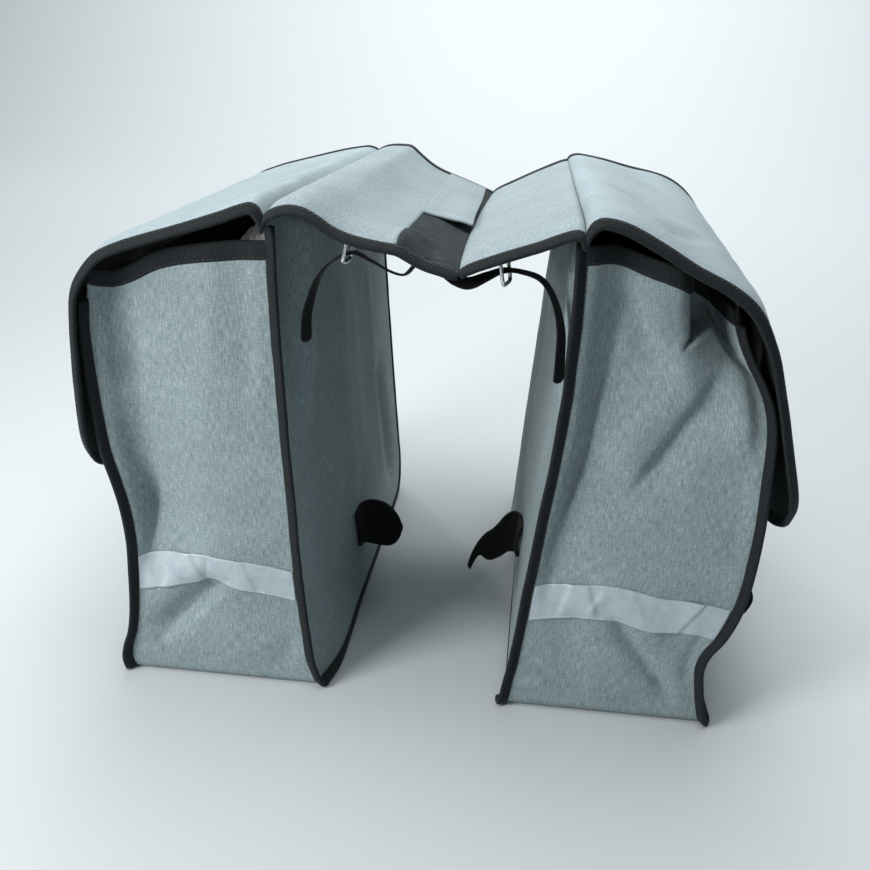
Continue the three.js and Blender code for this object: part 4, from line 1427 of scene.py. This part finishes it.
def near_reflector(side):
    def strip_point(part, row):
        lower = smooth(REFLECTORS[side], 1, part)
        upper = smooth(REFLECTORS[side], 2, part)
        z = lerp(lower, upper, row)
        back = seam_out(side, BACK, -HALF_LENGTH, z)
        front = seam_out(side, FRONT, -HALF_LENGTH, z)
        out = lerp(back, front, part)
        edge = fade(out - back) * fade(front - out)
        lift = REFLECTOR_LIFT + creases(STRIP_CREASES[side], out, z) * edge
        return near_gusset_point(side, part, z, lift)

    name = f"{side}_near_reflector"
    return reflector(name, strip_point, SIDES[side] < 0, NEAR_STRIP_COLUMNS, NEAR_STRIP_ROWS, -1)


FAR_STRIP_LOWER = 75


def far_reflector(side):
    def strip_point(part, row):
        z = lerp(FAR_STRIP_LOWER, FAR_STRIP_LOWER + STRIP_WIDTH, row)
        return far_gusset_point(side, part, z, REFLECTOR_LIFT)

    name = f"{side}_far_reflector"
    return reflector(name, strip_point, SIDES[side] > 0, FAR_STRIP_COLUMNS, FAR_STRIP_ROWS, 1)


# Tape round the seams: it stands out at a slant on the sides and lies flat along the floor
SEAM_SLANTS = {BACK: math.radians(40), FRONT: math.radians(60)}
# The back seams' tape is tucked under behind the near foot: the width that is left, and the place along
# by which it has narrowed to that
TUCKED_WIDTHS = {"left": 4, "right": 2.5}
TUCK_ENDS = {"left": -122, "right": -175}
FAR_SLANT = math.radians(76)
SEAM_START = -1.5
FLOOR_LIFT = 1.75
NEAR_STATIONS = 84
LOWER_STATIONS = 130
FAR_STATIONS = 70


def seam_binding(side, column, top):
    facing = (-1 if column == BACK else 1) * SIDES[side]
    lower_y, lower_z, lower_turn = lower_course(np.linspace(0, 1, LOWER_STATIONS))
    near_z = np.linspace(top, FLOOR + NEAR_RADIUS, NEAR_STATIONS)[:-1]
    far_z = np.linspace(FLOOR + FAR_RADIUS, top, FAR_STATIONS)[1:]
    y = np.concatenate([near_y(side, column, near_z), lower_y, np.full(len(far_z), HALF_LENGTH)])
    z = np.concatenate([near_z, lower_z, far_z])
    turn = np.concatenate([np.zeros(len(near_z)), lower_turn, np.full(len(far_z), math.pi)])
    flat = np.sin(turn) ** 2
    slant = lerp(SEAM_SLANTS[column], FAR_SLANT, (1 - np.cos(turn)) / 2) * (1 - flat)
    across = np.stack([
        facing * np.cos(slant),
        -np.cos(turn) * np.sin(slant),
        -np.sin(turn) * np.sin(slant),
    ], axis=-1)
    at = place(side, seam_out(side, column, y, z), y, z + flat * FLOOR_LIFT) + across * SEAM_START
    width = np.full(len(at), BINDING - SEAM_START)
    if column == BACK:
        width = lerp(width, TUCKED_WIDTHS[side], smoothstep(y, -HALF_LENGTH, TUCK_ENDS[side]))
    names = {BACK: "back_binding", FRONT: "front_binding"}
    return tape(f"{side}_{names[column]}", at, across, width, TAPE_THICKNESS, seed=41.0 + column)


# Lids. Runs are parts of the way from the seam over the top to the flap's lower edge.
FLAP_BEND_START = 0.42
FLAP_BEND_END = 0.6
SETTLE_START = 0.01  # beside the seam the cloth moves straight up and down
SETTLE_END = 0.08
TAPE_SETTLE_END = 0.07
SEAM_RUN = 0.06  # finer steps up to here
LID_SWELLING = 0.8
LID_SWELLING_LENGTH = 38
FADE_PAST = 6  # folds of lids and bridge die away towards a line this far beyond the edge


def droop(y):
    """How far the cloth sags at its near edge; the far edge stays nearly level."""
    part = np.clip((np.abs(y) - LID_HALF + DROOP_WIDTH) / DROOP_WIDTH, 0, 1)
    return np.where(y < 0, EDGE_DROOP, FAR_DROOP) * part ** 2


RUN_STEP = 0.004


def lid_profile(side, run, y):
    rows = np.array(LID_PROFILES[side], float)
    near = along_course(rows[:, NEAR_PROFILE:NEAR_PROFILE + 2], run)
    far = along_course(rows[:, FAR_PROFILE:FAR_PROFILE + 2], run)
    return lerp(near, far, np.expand_dims(y / LID_LENGTH + 0.5, -1))


def lid_point(side, run, y):
    run, y = np.broadcast_arrays(run, y)
    point = lid_profile(side, run, y)
    after = lid_profile(side, np.minimum(run + RUN_STEP, 1), y)
    ahead = unit(after - lid_profile(side, run - RUN_STEP, y))
    drop = droop(y) * lerp(1, FLAP_DROOP, smoothstep(run, FLAP_BEND_START, FLAP_BEND_END))
    length = run * LID_PROFILE_LENGTH
    rough = LID_SWELLING * unevenness(y, length, LID_SWELLING_LENGTH, 51.0 + SIDES[side])
    edge = fade(LID_HALF + FADE_PAST - np.abs(y))
    lift = (folds(LID_FOLDS[side], y, length) + rough) * fade(length) * edge
    move = lift - drop
    settled = smoothstep(run, SETTLE_START, SETTLE_END)
    sideways = -ahead[..., 1] * settled
    upward = lerp(1, ahead[..., 0], settled)
    return place(side, point[..., 0] + sideways * move, y, point[..., 1] + upward * move)


LID_CORNER_RUN = LID_RADIUS / LID_PROFILE_LENGTH
LID_CORNER_STEPS = np.array([1, 0.8, 0.6, 0.45, 0.3, 0.2, 0.1, 0.04, 0.01, 0])
LID_COLUMNS = 100
LID_SEAM_ROWS = 10
LID_ROWS = 64


def lid(side):
    def point_at(column, run):
        y = -column * SIDES[side]
        above = (1 - run) * LID_PROFILE_LENGTH
        return lid_point(side, run, y * (LID_HALF - corner_inset(above, LID_RADIUS)))

    corner = 1 - LID_CORNER_RUN * LID_CORNER_STEPS
    rows = np.concatenate([
        np.linspace(0, SEAM_RUN, LID_SEAM_ROWS)[:-1],
        np.linspace(SEAM_RUN, corner[0], LID_ROWS)[:-1],
        corner,
    ])
    columns = np.linspace(-1, 1, LID_COLUMNS)
    # The lid's outside takes the top's copy of the canvas, with painted light
    return cloth(f"{side}_lid", columns, rows, point_at, materials=[TOP_LIT_CANVAS, COATING])


# Tape round the free edges of lids and bridge
SIDE_LEAN = math.radians(42)
FAR_LEAN = math.radians(-8)
LID_FAR_LEANS = {"left": SIDE_LEAN, "right": FAR_LEAN}
FLAP_LEAN = math.radians(30)
TAPE_TUCK = -2.0
LENGTH_STEP = 0.5
UPRIGHT = np.array([0.0, 0.0, 1.0])
LENGTHWISE = np.array([0.0, 1.0, 0.0])


def leaning(edge, outward, normal, lean):
    """Start and direction of a tape that leans down from a free edge."""
    lean = np.reshape(lean, (-1, 1))
    across = outward * np.cos(lean) - normal * np.sin(lean)
    return edge + across * TAPE_TUCK, across


LID_TAPE_START = 0.002
LID_TAPE_SEAM_STATIONS = 16
LID_TAPE_STATIONS = 84
LID_CORNER_STATIONS = 12
LID_EDGE_STATIONS = 110


def lid_binding(side):
    half = LID_HALF - LID_RADIUS
    straight = np.concatenate([
        np.linspace(LID_TAPE_START, SEAM_RUN, LID_TAPE_SEAM_STATIONS)[:-1],
        np.linspace(SEAM_RUN, 1 - LID_CORNER_RUN, LID_TAPE_STATIONS),
    ])
    corner = np.radians(np.linspace(0, 90, LID_CORNER_STATIONS)[1:-1])
    edge_y = np.linspace(-half, half, LID_EDGE_STATIONS)
    corner_runs = 1 - LID_CORNER_RUN + LID_CORNER_RUN * np.sin(corner)
    corner_y = half + LID_RADIUS * np.cos(corner)
    run = np.concatenate([straight, corner_runs, np.ones(len(edge_y)), corner_runs[::-1], straight[::-1]])
    y = np.concatenate([
        np.full(len(straight), -LID_HALF),
        -corner_y,
        edge_y,
        corner_y[::-1],
        np.full(len(straight), LID_HALF),
    ])
    turn = np.concatenate([
        np.zeros(len(straight)),
        corner,
        np.full(len(edge_y), math.pi / 2),
        math.pi - corner[::-1],
        np.full(len(straight), math.pi),
    ])
    edge = lid_point(side, run, y)
    after = lid_point(side, np.minimum(run + RUN_STEP, 1), y)
    down = unit(after - lid_point(side, run - RUN_STEP, y))
    along = unit(lid_point(side, run, y + LENGTH_STEP) - lid_point(side, run, y - LENGTH_STEP))
    normal = unit(np.cross(along, down)) * -SIDES[side]
    settled = smoothstep(run, SETTLE_START, TAPE_SETTLE_END)[:, None]
    normal = unit(lerp(UPRIGHT, normal, settled))
    outward = unit(along * -np.cos(turn)[:, None] + down * np.sin(turn)[:, None])
    side_lean = lerp(SIDE_LEAN, LID_FAR_LEANS[side], (1 - np.cos(turn)) / 2)
    at, across = leaning(edge, outward, normal, lerp(side_lean, FLAP_LEAN, np.sin(turn) ** 2))
    width = LID_BINDING - TAPE_TUCK
    return tape(f"{side}_lid_binding", at, across, width, TAPE_THICKNESS, seed=61.0 + SIDES[side])


# Bridge
FAR_NARROWING = SEAM_OUT_FAR / SEAM_OUT
BRIDGE_SWELLING = 0.6
BRIDGE_SWELLING_LENGTH = 36
BRIDGE_ROWS = 110


def bridge_point(rows, x, y, lift=0.0, fold_table=()):
    x, y = np.broadcast_arrays(x, y)
    narrowing = lerp(1, FAR_NARROWING, y / LID_LENGTH + 0.5)
    rough = BRIDGE_SWELLING * unevenness(x, y, BRIDGE_SWELLING_LENGTH, 71.0)
    edge = fade(LID_HALF + FADE_PAST - np.abs(y))
    soft = (rough + folds(fold_table, y, x)) * edge * fade(SEAM_OUT - np.abs(x))
    level = lerp(smooth(rows, 1, x), smooth(rows, 2, x), y / LID_LENGTH + 0.5)
    z = level - droop(y) + lift + soft
    bend = FOLD_BEND * (1 - (y / LID_HALF) ** 2) * np.exp(-((x - BRIDGE_FOLD) / FOLD_BEND_WIDTH) ** 2)
    return np.stack([MIDDLE_X + (x + bend) * narrowing, y, z], axis=-1)


# Bridge panels take the bridge's copy of the canvas by default, with painted light
def bridge_panel(name, rows, xs, fold_table, thickness=CLOTH, finish=BRIDGE_LIT_CANVAS):
    def point_at(x, y):
        return bridge_point(rows, x, y, 0.0, fold_table)

    ys = np.linspace(-LID_HALF, LID_HALF, BRIDGE_ROWS)
    return cloth(name, xs, ys, point_at, thickness, [finish, COATING])


# The bridge's tape: distances from the side seams between which it turns from flat to leaning, and
# distances from the fold between which it reaches its full width
TURN_START = 2
TURN_END = 10
PINCH_START = -8
PINCH_END = 6


def bridge_binding(name, rows, xs, end, fold_table):
    y = np.full(len(xs), end * LID_HALF)
    edge = bridge_point(rows, xs, y, 0.0, fold_table)
    ahead = bridge_point(rows, xs + LENGTH_STEP, y, 0.0, fold_table)
    behind = bridge_point(rows, xs - LENGTH_STEP, y, 0.0, fold_table)
    along = unit(ahead - behind)
    outward = np.broadcast_to(end * LENGTHWISE, edge.shape)
    normal = unit(np.cross(along, LENGTHWISE))
    settled = smoothstep(np.abs(xs), SEAM_OUT - TURN_START, SEAM_OUT - TURN_END)[:, None]
    normal = unit(lerp(UPRIGHT, normal, settled))
    at, across = leaning(edge, outward, normal, np.full(len(xs), SIDE_LEAN if end < 0 else FAR_LEAN))
    width = BRIDGE_BINDING * smoothstep(np.abs(xs - BRIDGE_FOLD), PINCH_START, PINCH_END)
    return tape(name, at, across, width - TAPE_TUCK, TAPE_THICKNESS, seed=81.0 + end)


# Straps, buckles and tabs
STRAP_STATIONS = 120
STRAP_LENGTH = 140
STRAP_ROUNDING = 3
STRAP_CUT = 0.8
FRONT_TAB_STATIONS = 40
FRONT_TAB_LENGTH = 36
FRONT_TAB_ROUNDING = 4
FRONT_TAB_CUT = 0.9


def strap_width(part, length, rounding, cut):
    """Width of webbing whose free end narrows over its rounding; the cut says by how much."""
    end = np.clip((1 - part) * length / rounding, 0, 1)
    return STRAP_WIDTH * np.sqrt(1 - (1 - end) ** 2 * cut)


def strap(side):
    part = np.linspace(0, 1, STRAP_STATIONS)
    route = along_course(STRAP_ROUTES[side], part)
    turn = np.radians(smooth(STRAP_TURNS[side], 1, part))
    middle = place(side, route[:, 0], STRAP_Y, route[:, 1])
    ahead = unit(np.gradient(middle, axis=0))
    flat = np.broadcast_to(LENGTHWISE, middle.shape)
    face = unit(np.cross(ahead, flat))
    across = flat * np.cos(turn)[:, None] + face * np.sin(turn)[:, None]
    width = strap_width(part, STRAP_LENGTH, STRAP_ROUNDING, STRAP_CUT)
    at = middle - across * (width / 2)[:, None]
    seed = 91.0 + SIDES[side]
    return tape(f"{side}_strap", at, across, width, STRAP_THICKNESS, WEBBING, seed=seed)


def front_tab(side):
    part = np.linspace(0, 1, FRONT_TAB_STATIONS)
    route = along_course(FRONT_TAB_ROUTE, part)
    y = np.full(len(part), float(FRONT_TAB_Y))
    middle = panel_point(side, FRONT, y, route[:, 1], route[:, 0])
    across = np.broadcast_to(LENGTHWISE, middle.shape)
    width = strap_width(part, FRONT_TAB_LENGTH, FRONT_TAB_ROUNDING, FRONT_TAB_CUT)
    at = middle - across * (width / 2)[:, None]
    return tape(f"{side}_front_tab", at, across, width, STRAP_THICKNESS, WEBBING, seed=95.0)


WHEEL_STRAP_CUP = 2
WHEEL_STRAP_BEVEL = 0.8
WHEEL_STRAP_COLUMNS = 30
WHEEL_STRAP_ROWS = 70


def wheel_strap(side):
    def point_at(column, part):
        off, y, lower, upper = along_course(WHEEL_STRAPS[side], part).T
        cupped = off + WHEEL_STRAP_CUP * np.sin(math.pi * column)
        return panel_point(side, BACK, y, lerp(lower, upper, column), -cupped)

    columns = np.linspace(0, 1, WHEEL_STRAP_COLUMNS)
    if SIDES[side] > 0:
        columns = columns[::-1]
    rows = np.linspace(0, 1, WHEEL_STRAP_ROWS)
    name = f"{side}_wheel_strap"
    piece = cloth(name, columns, rows, point_at, WHEEL_STRAP_THICKNESS, [FUZZ])
    bpy.context.view_layer.objects.active = piece
    bpy.ops.object.modifier_add(type="BEVEL")
    edge = piece.modifiers[-1]
    edge.width = WHEEL_STRAP_BEVEL * MM
    edge.segments = 2
    edge.limit_method = "ANGLE"
    bpy.ops.object.modifier_apply(modifier=edge.name)
    return piece


BUCKLE_CORNER = 3.2


def buckle(side):
    """A frame bent from one length of wire."""
    out, height, _, turn, lean = BUCKLES[side]
    drop = (BUCKLE_HEIGHT - BUCKLE_WIRE) / 2
    bpy.ops.object.select_all(action="DESELECT")
    bpy.ops.mesh.primitive_plane_add(size=1)
    piece = bpy.context.object
    piece.name = f"{side}_buckle_wire"
    bpy.ops.object.mode_set(mode="EDIT")
    size = ((BUCKLE_WIDTH - BUCKLE_WIRE) * MM, (BUCKLE_HEIGHT - BUCKLE_WIRE) * MM, 1)
    bpy.ops.transform.resize(value=size, center_override=(0, 0, 0))
    bpy.ops.mesh.bevel(offset=BUCKLE_CORNER * MM, segments=6, affect="VERTICES")
    bpy.ops.mesh.delete(type="ONLY_FACE")
    bpy.ops.object.mode_set(mode="OBJECT")
    bpy.ops.object.convert(target="CURVE")
    piece = bpy.context.object
    piece.data.bevel_depth = BUCKLE_WIRE / 2 * MM
    piece.data.bevel_resolution = 4
    bpy.ops.object.convert(target="MESH")
    piece = bpy.context.object
    upright = Matrix.Rotation(math.pi / 2, 4, "X")
    hung = Matrix.Translation((0, 0, -drop * MM))
    facing = Matrix.Rotation(math.radians(turn), 4, "Z")
    leaning_over = Matrix.Rotation(math.radians(lean), 4, "Y")
    upper_bar = Matrix.Translation(place(side, out, STRAP_Y, height + drop) * MM)
    piece.data.transform(upper_bar @ leaning_over @ facing @ hung @ upright)
    return finished(piece, [WIRE], (f"{side}_buckle",))


TAB_WIDTH = 8.5
TAB_WALL = 1.3
TAB_PLAY = 0.2
TAB_SEWN = 1
TAB_PINCHES = np.array([0.8, 0.9])  # the loop's halves come together towards the cloth
TAB_STATIONS = 24


def buckle_tab(side):
    """Webbing that goes up from the cloth, round the buckle's upper bar and back."""
    out, height, hang = BUCKLES[side][:3]
    bar = height + (BUCKLE_HEIGHT - BUCKLE_WIRE) / 2
    radius = BUCKLE_WIRE / 2 + TAB_WALL / 2 + TAB_PLAY
    turn = np.radians(np.linspace(180, 360, TAB_STATIONS))
    top = hang + TAB_SEWN
    halves = radius * TAB_PINCHES
    heights = np.array([top, (top + bar) / 2])
    xs = np.concatenate([-halves, radius * np.cos(turn), halves[::-1]])
    zs = np.concatenate([heights, bar + radius * np.sin(turn), heights[::-1]])
    middle = place(side, out + xs, STRAP_Y, zs)
    across = np.broadcast_to(LENGTHWISE, middle.shape)
    at = middle - across * (TAB_WIDTH / 2)
    return tape(f"{side}_buckle_tab", at, across, TAB_WIDTH, TAB_WALL, WEBBING, seed=97.0)


SCRAP_WIDTH = 22
SCRAP_HEIGHT = 15
SCRAP_THICKNESS = 0.7
SCRAP_OUT = SEAM_OUT + 2
SCRAP_Y = -172
SCRAP_Z = 333
SCRAP_SLANT = 7  # how far the outer end lies further back
SCRAP_DROP = 3  # how far the outer end hangs lower
SCRAP_TOP_PART = 0.4  # part by which the top is narrower
SCRAP_END_PART = 0.35  # part by which the outer end is lower
SCRAP_CREASE = 2.2
SCRAP_CREASE_LENGTH = 6
SCRAP_CRUMPLE = 1.0
SCRAP_CRUMPLE_LENGTH = 2.6
SCRAP_RAG = 1.4
SCRAP_RAG_LENGTH = 3
SCRAP_COLUMNS = 40
SCRAP_ROWS = 30


def corner_scrap(side):
    """Crumpled raw edge of the back seam's allowance, at the corner between mouth and lid."""
    def point_at(u, v):
        across = u * SCRAP_WIDTH
        up = v * SCRAP_HEIGHT
        crease = SCRAP_CREASE * unevenness(across, up, SCRAP_CREASE_LENGTH, 7.0)
        crease = crease + SCRAP_CRUMPLE * unevenness(across, up, SCRAP_CRUMPLE_LENGTH, 9.0)
        rag = SCRAP_RAG * unevenness(across, v, SCRAP_RAG_LENGTH, 4.0) * v
        out = SCRAP_OUT + across * (1 - SCRAP_TOP_PART * v)
        y = SCRAP_Y + SCRAP_SLANT * u + crease
        return place(side, out, y, SCRAP_Z + up * (1 - SCRAP_END_PART * u) + rag - SCRAP_DROP * u)

    return cloth(
        f"{side}_seam_scrap",
        np.linspace(1, 0, SCRAP_COLUMNS),
        np.linspace(0, 1, SCRAP_ROWS),
        point_at,
        thickness=SCRAP_THICKNESS,
        materials=[RAW_EDGE],
        stands_for=(),
    )


# Building
BACK_TOP = 350
BINDING_TOPS = {BACK: 345, FRONT: 290}

for side in SIDES:
    back_panel = panel(side, BACK, BACK_TOP)
    front_panel = panel(side, FRONT, FRONT_TOP - HEM / 2)
    side_gusset = gusset(side)
    lid_sheet = lid(side)
    hems = [near_hem(side), far_hem(side), front_hem(side)]
    bindings = [seam_binding(side, column, top) for column, top in BINDING_TOPS.items()]
    edging = lid_binding(side)
    near_strip = near_reflector(side)
    far_strip = far_reflector(side)
    sewn_lines = [line for _, lines in [*hems, *bindings, edging] for line in lines]
    stitches(f"{side}_tape_stitches", sewn_lines, DARK_THREAD)
    strap(side)
    buckle(side)
    buckle_tab(side)
    wheel_strap(side)

front_tab("right")
scrap = corner_scrap("left")

# Places across the bridge: its side edges, and where the turned-up edge and the fold need finer steps
BRIDGE_SIDE = 99.2
LEFT_TURN = -90
RIGHT_TURN = 30
left_xs = np.concatenate([
    np.linspace(-BRIDGE_SIDE, LEFT_TURN, 12)[:-1],
    np.linspace(LEFT_TURN, STRIP_EDGE, 36),
])
right_xs = np.concatenate([
    np.linspace(BRIDGE_FOLD, RIGHT_TURN, 8)[:-1],
    np.linspace(RIGHT_TURN, BRIDGE_SIDE, 40),
])
strip_xs = np.linspace(STRIP_EDGE, BRIDGE_FOLD, 24)
PILE_THICKNESS = 1.2
LEFT_FOLDS = BRIDGE_FOLDS["left"] + BRIDGE_FOLDS["strip"]
left_bridge = bridge_panel("bridge_left_panel", BRIDGE_LEFT, left_xs, LEFT_FOLDS)
right_bridge = bridge_panel("bridge_right_panel", BRIDGE_RIGHT, right_xs, BRIDGE_FOLDS["right"])
middle_strip = bridge_panel(
    "bridge_middle_strip", BRIDGE_LEFT, strip_xs, LEFT_FOLDS, PILE_THICKNESS, PILE
)


def tab_point(part, y):
    """The cover tab lies slantwise on the strip, and its near end stands over the right panel's edge."""
    part, y = np.broadcast_arrays(part, y)
    x = lerp(smooth(TAB_EDGES, 1, y), smooth(TAB_EDGES, 2, y), part)
    near_end = 1 - smoothstep(y, TAB_RISE_NEAR_Y, TAB_RISE_FAR_Y)
    rise = TAB_LIFT + TAB_RISE * near_end * smoothstep(x, TAB_RISE_FROM, TAB_RISE_TO)
    on_strip = bridge_point(BRIDGE_LEFT, np.minimum(x, BRIDGE_FOLD), y, rise, LEFT_FOLDS)
    on_strip[..., 0] += np.maximum(x - BRIDGE_FOLD, 0)
    return on_strip


TAB_COLUMNS = 30
TAB_ROWS = 100
cover_tab = cloth(
    "bridge_cover_tab",
    np.linspace(0, 1, TAB_COLUMNS),
    np.linspace(TAB_NEAR_Y, TAB_FAR_Y, TAB_ROWS),
    tab_point,
    # the bridge's copy of the canvas, with painted light
    materials=[BRIDGE_LIT_CANVAS, COATING],
)
TAPE_SIDE = 99
FOLD_GAP = 0.2
left_edge = np.linspace(-TAPE_SIDE, BRIDGE_FOLD - FOLD_GAP, 84)
right_edge = np.linspace(BRIDGE_FOLD + FOLD_GAP, TAPE_SIDE, 64)
bridge_edges = []
for name, end in {"near": -1, "far": 1}.items():
    left_name = f"bridge_left_{name}_binding"
    right_name = f"bridge_right_{name}_binding"
    bridge_edges.append(bridge_binding(left_name, BRIDGE_LEFT, left_edge, end, LEFT_FOLDS))
    bridge_edges.append(bridge_binding(right_name, BRIDGE_RIGHT, right_edge, end, BRIDGE_FOLDS["right"]))
bridge_lines = [line for _, lines in bridge_edges for line in lines]
stitches("bridge_tape_stitches", bridge_lines, DARK_THREAD)

# Floor that sweeps up into a backdrop, in metres
FLOOR_SIZE = 8
BACKDROP_HEIGHT = 5
SWEEP_RADIUS = 1.6
SWEEP_SEGMENTS = 20
bpy.ops.object.select_all(action="DESELECT")
bpy.ops.mesh.primitive_plane_add(size=FLOOR_SIZE)
floor = bpy.context.object
floor.name = "floor"
for vertex in floor.data.vertices:
    vertex.select = vertex.co.y > 0
for edge in floor.data.edges:
    edge.select = all(floor.data.vertices[v].co.y > 0 for v in edge.vertices)
for face in floor.data.polygons:
    face.select = False
bpy.ops.object.mode_set(mode="EDIT")
bpy.ops.mesh.select_mode(type="EDGE")
bpy.ops.mesh.extrude_region_move(TRANSFORM_OT_translate={"value": (0, 0, BACKDROP_HEIGHT)})
bpy.ops.object.mode_set(mode="OBJECT")
for edge in floor.data.edges:
    ends = [floor.data.vertices[v].co for v in edge.vertices]
    edge.select = all(end.y > 0 and end.z < 1 for end in ends)
bpy.ops.object.mode_set(mode="EDIT")
bpy.ops.mesh.bevel(offset=SWEEP_RADIUS, segments=SWEEP_SEGMENTS)
bpy.ops.object.mode_set(mode="OBJECT")
bpy.ops.object.shade_smooth()
floor_paint, floor_shader = material_named("pale_floor")
floor_shader.inputs["Base Color"].default_value = colour("#C3C9CB")
floor_shader.inputs["Roughness"].default_value = 0.9
floor.data.materials.append(floor_paint)

# Light: a soft key from the left, weak light from the front, one from above, one on the backdrop,
# and an even surround
world = bpy.data.worlds.new("studio")
bpy.context.scene.world = world
world.use_nodes = True
surround = world.node_tree.nodes["Background"]
surround.inputs["Color"].default_value = colour("#A9C6DA")
surround.inputs["Strength"].default_value = 0.13


def area_light(name, at, aim, size, power):
    light = bpy.data.lights.new(name, "AREA")
    light.size = size
    light.energy = power
    made = bpy.data.objects.new(name, light)
    made.location = at
    made.rotation_euler = (Vector(aim) - Vector(at)).to_track_quat("-Z", "Y").to_euler()
    bpy.context.scene.collection.objects.link(made)


area_light("key", (-0.86, -0.86, 0.74), (0, 0, 0.2), 0.5, 14)
area_light("front", (0.0, -1.7, 0.6), (0, 0, 0.2), 0.7, 1.4)
area_light("top", (0.05, 0.1, 1.5), (0, 0, 0.2), 1.3, 21)
area_light("backdrop", (0, 1.9, 3.4), (0, 5, 0.8), 2.5, 190)

# A narrow beam from behind, through the gap onto the right bag's wall
beam = bpy.data.lights.new("beam", "SPOT")
beam.energy = 40
beam.spot_size = math.radians(15)
beam.spot_blend = 0.9
beam.shadow_soft_size = 0.12
beam_lamp = bpy.data.objects.new("beam", beam)
BEAM_AT = Vector((-0.9, 1.5, 0.75))
BEAM_AIM = Vector((0.07, 0.08, 0.16))
beam_lamp.location = BEAM_AT
beam_lamp.rotation_euler = (BEAM_AIM - BEAM_AT).to_track_quat("-Z", "Y").to_euler()
bpy.context.scene.collection.objects.link(beam_lamp)

# Camera at the photograph's place and angle
CAMERA_AT = Vector((65.7, -770.6, 458.8)) * MM
CAMERA_PITCH = math.radians(22.67)
CAMERA_YAW = math.radians(-6.0)
CAMERA_ROLL = math.radians(-1.89)
SENSOR_WIDTH = 36
LENS = 39.72
ahead = Vector((
    math.sin(CAMERA_YAW) * math.cos(CAMERA_PITCH),
    math.cos(CAMERA_YAW) * math.cos(CAMERA_PITCH),
    -math.sin(CAMERA_PITCH),
))
level_right = Vector((math.cos(CAMERA_YAW), -math.sin(CAMERA_YAW), 0))
level_down = ahead.cross(level_right)
right = level_right * math.cos(CAMERA_ROLL) + level_down * math.sin(CAMERA_ROLL)
down = level_down * math.cos(CAMERA_ROLL) - level_right * math.sin(CAMERA_ROLL)
camera_data = bpy.data.cameras.new("camera")
camera_data.sensor_width = SENSOR_WIDTH
camera_data.lens = LENS
camera = bpy.data.objects.new("camera", camera_data)
facing = Matrix((right, -down, -ahead)).transposed().to_4x4()
camera.matrix_world = Matrix.Translation(CAMERA_AT) @ facing
bpy.context.scene.collection.objects.link(camera)
bpy.context.scene.camera = camera
bpy.context.scene.view_settings.view_transform = "Standard"
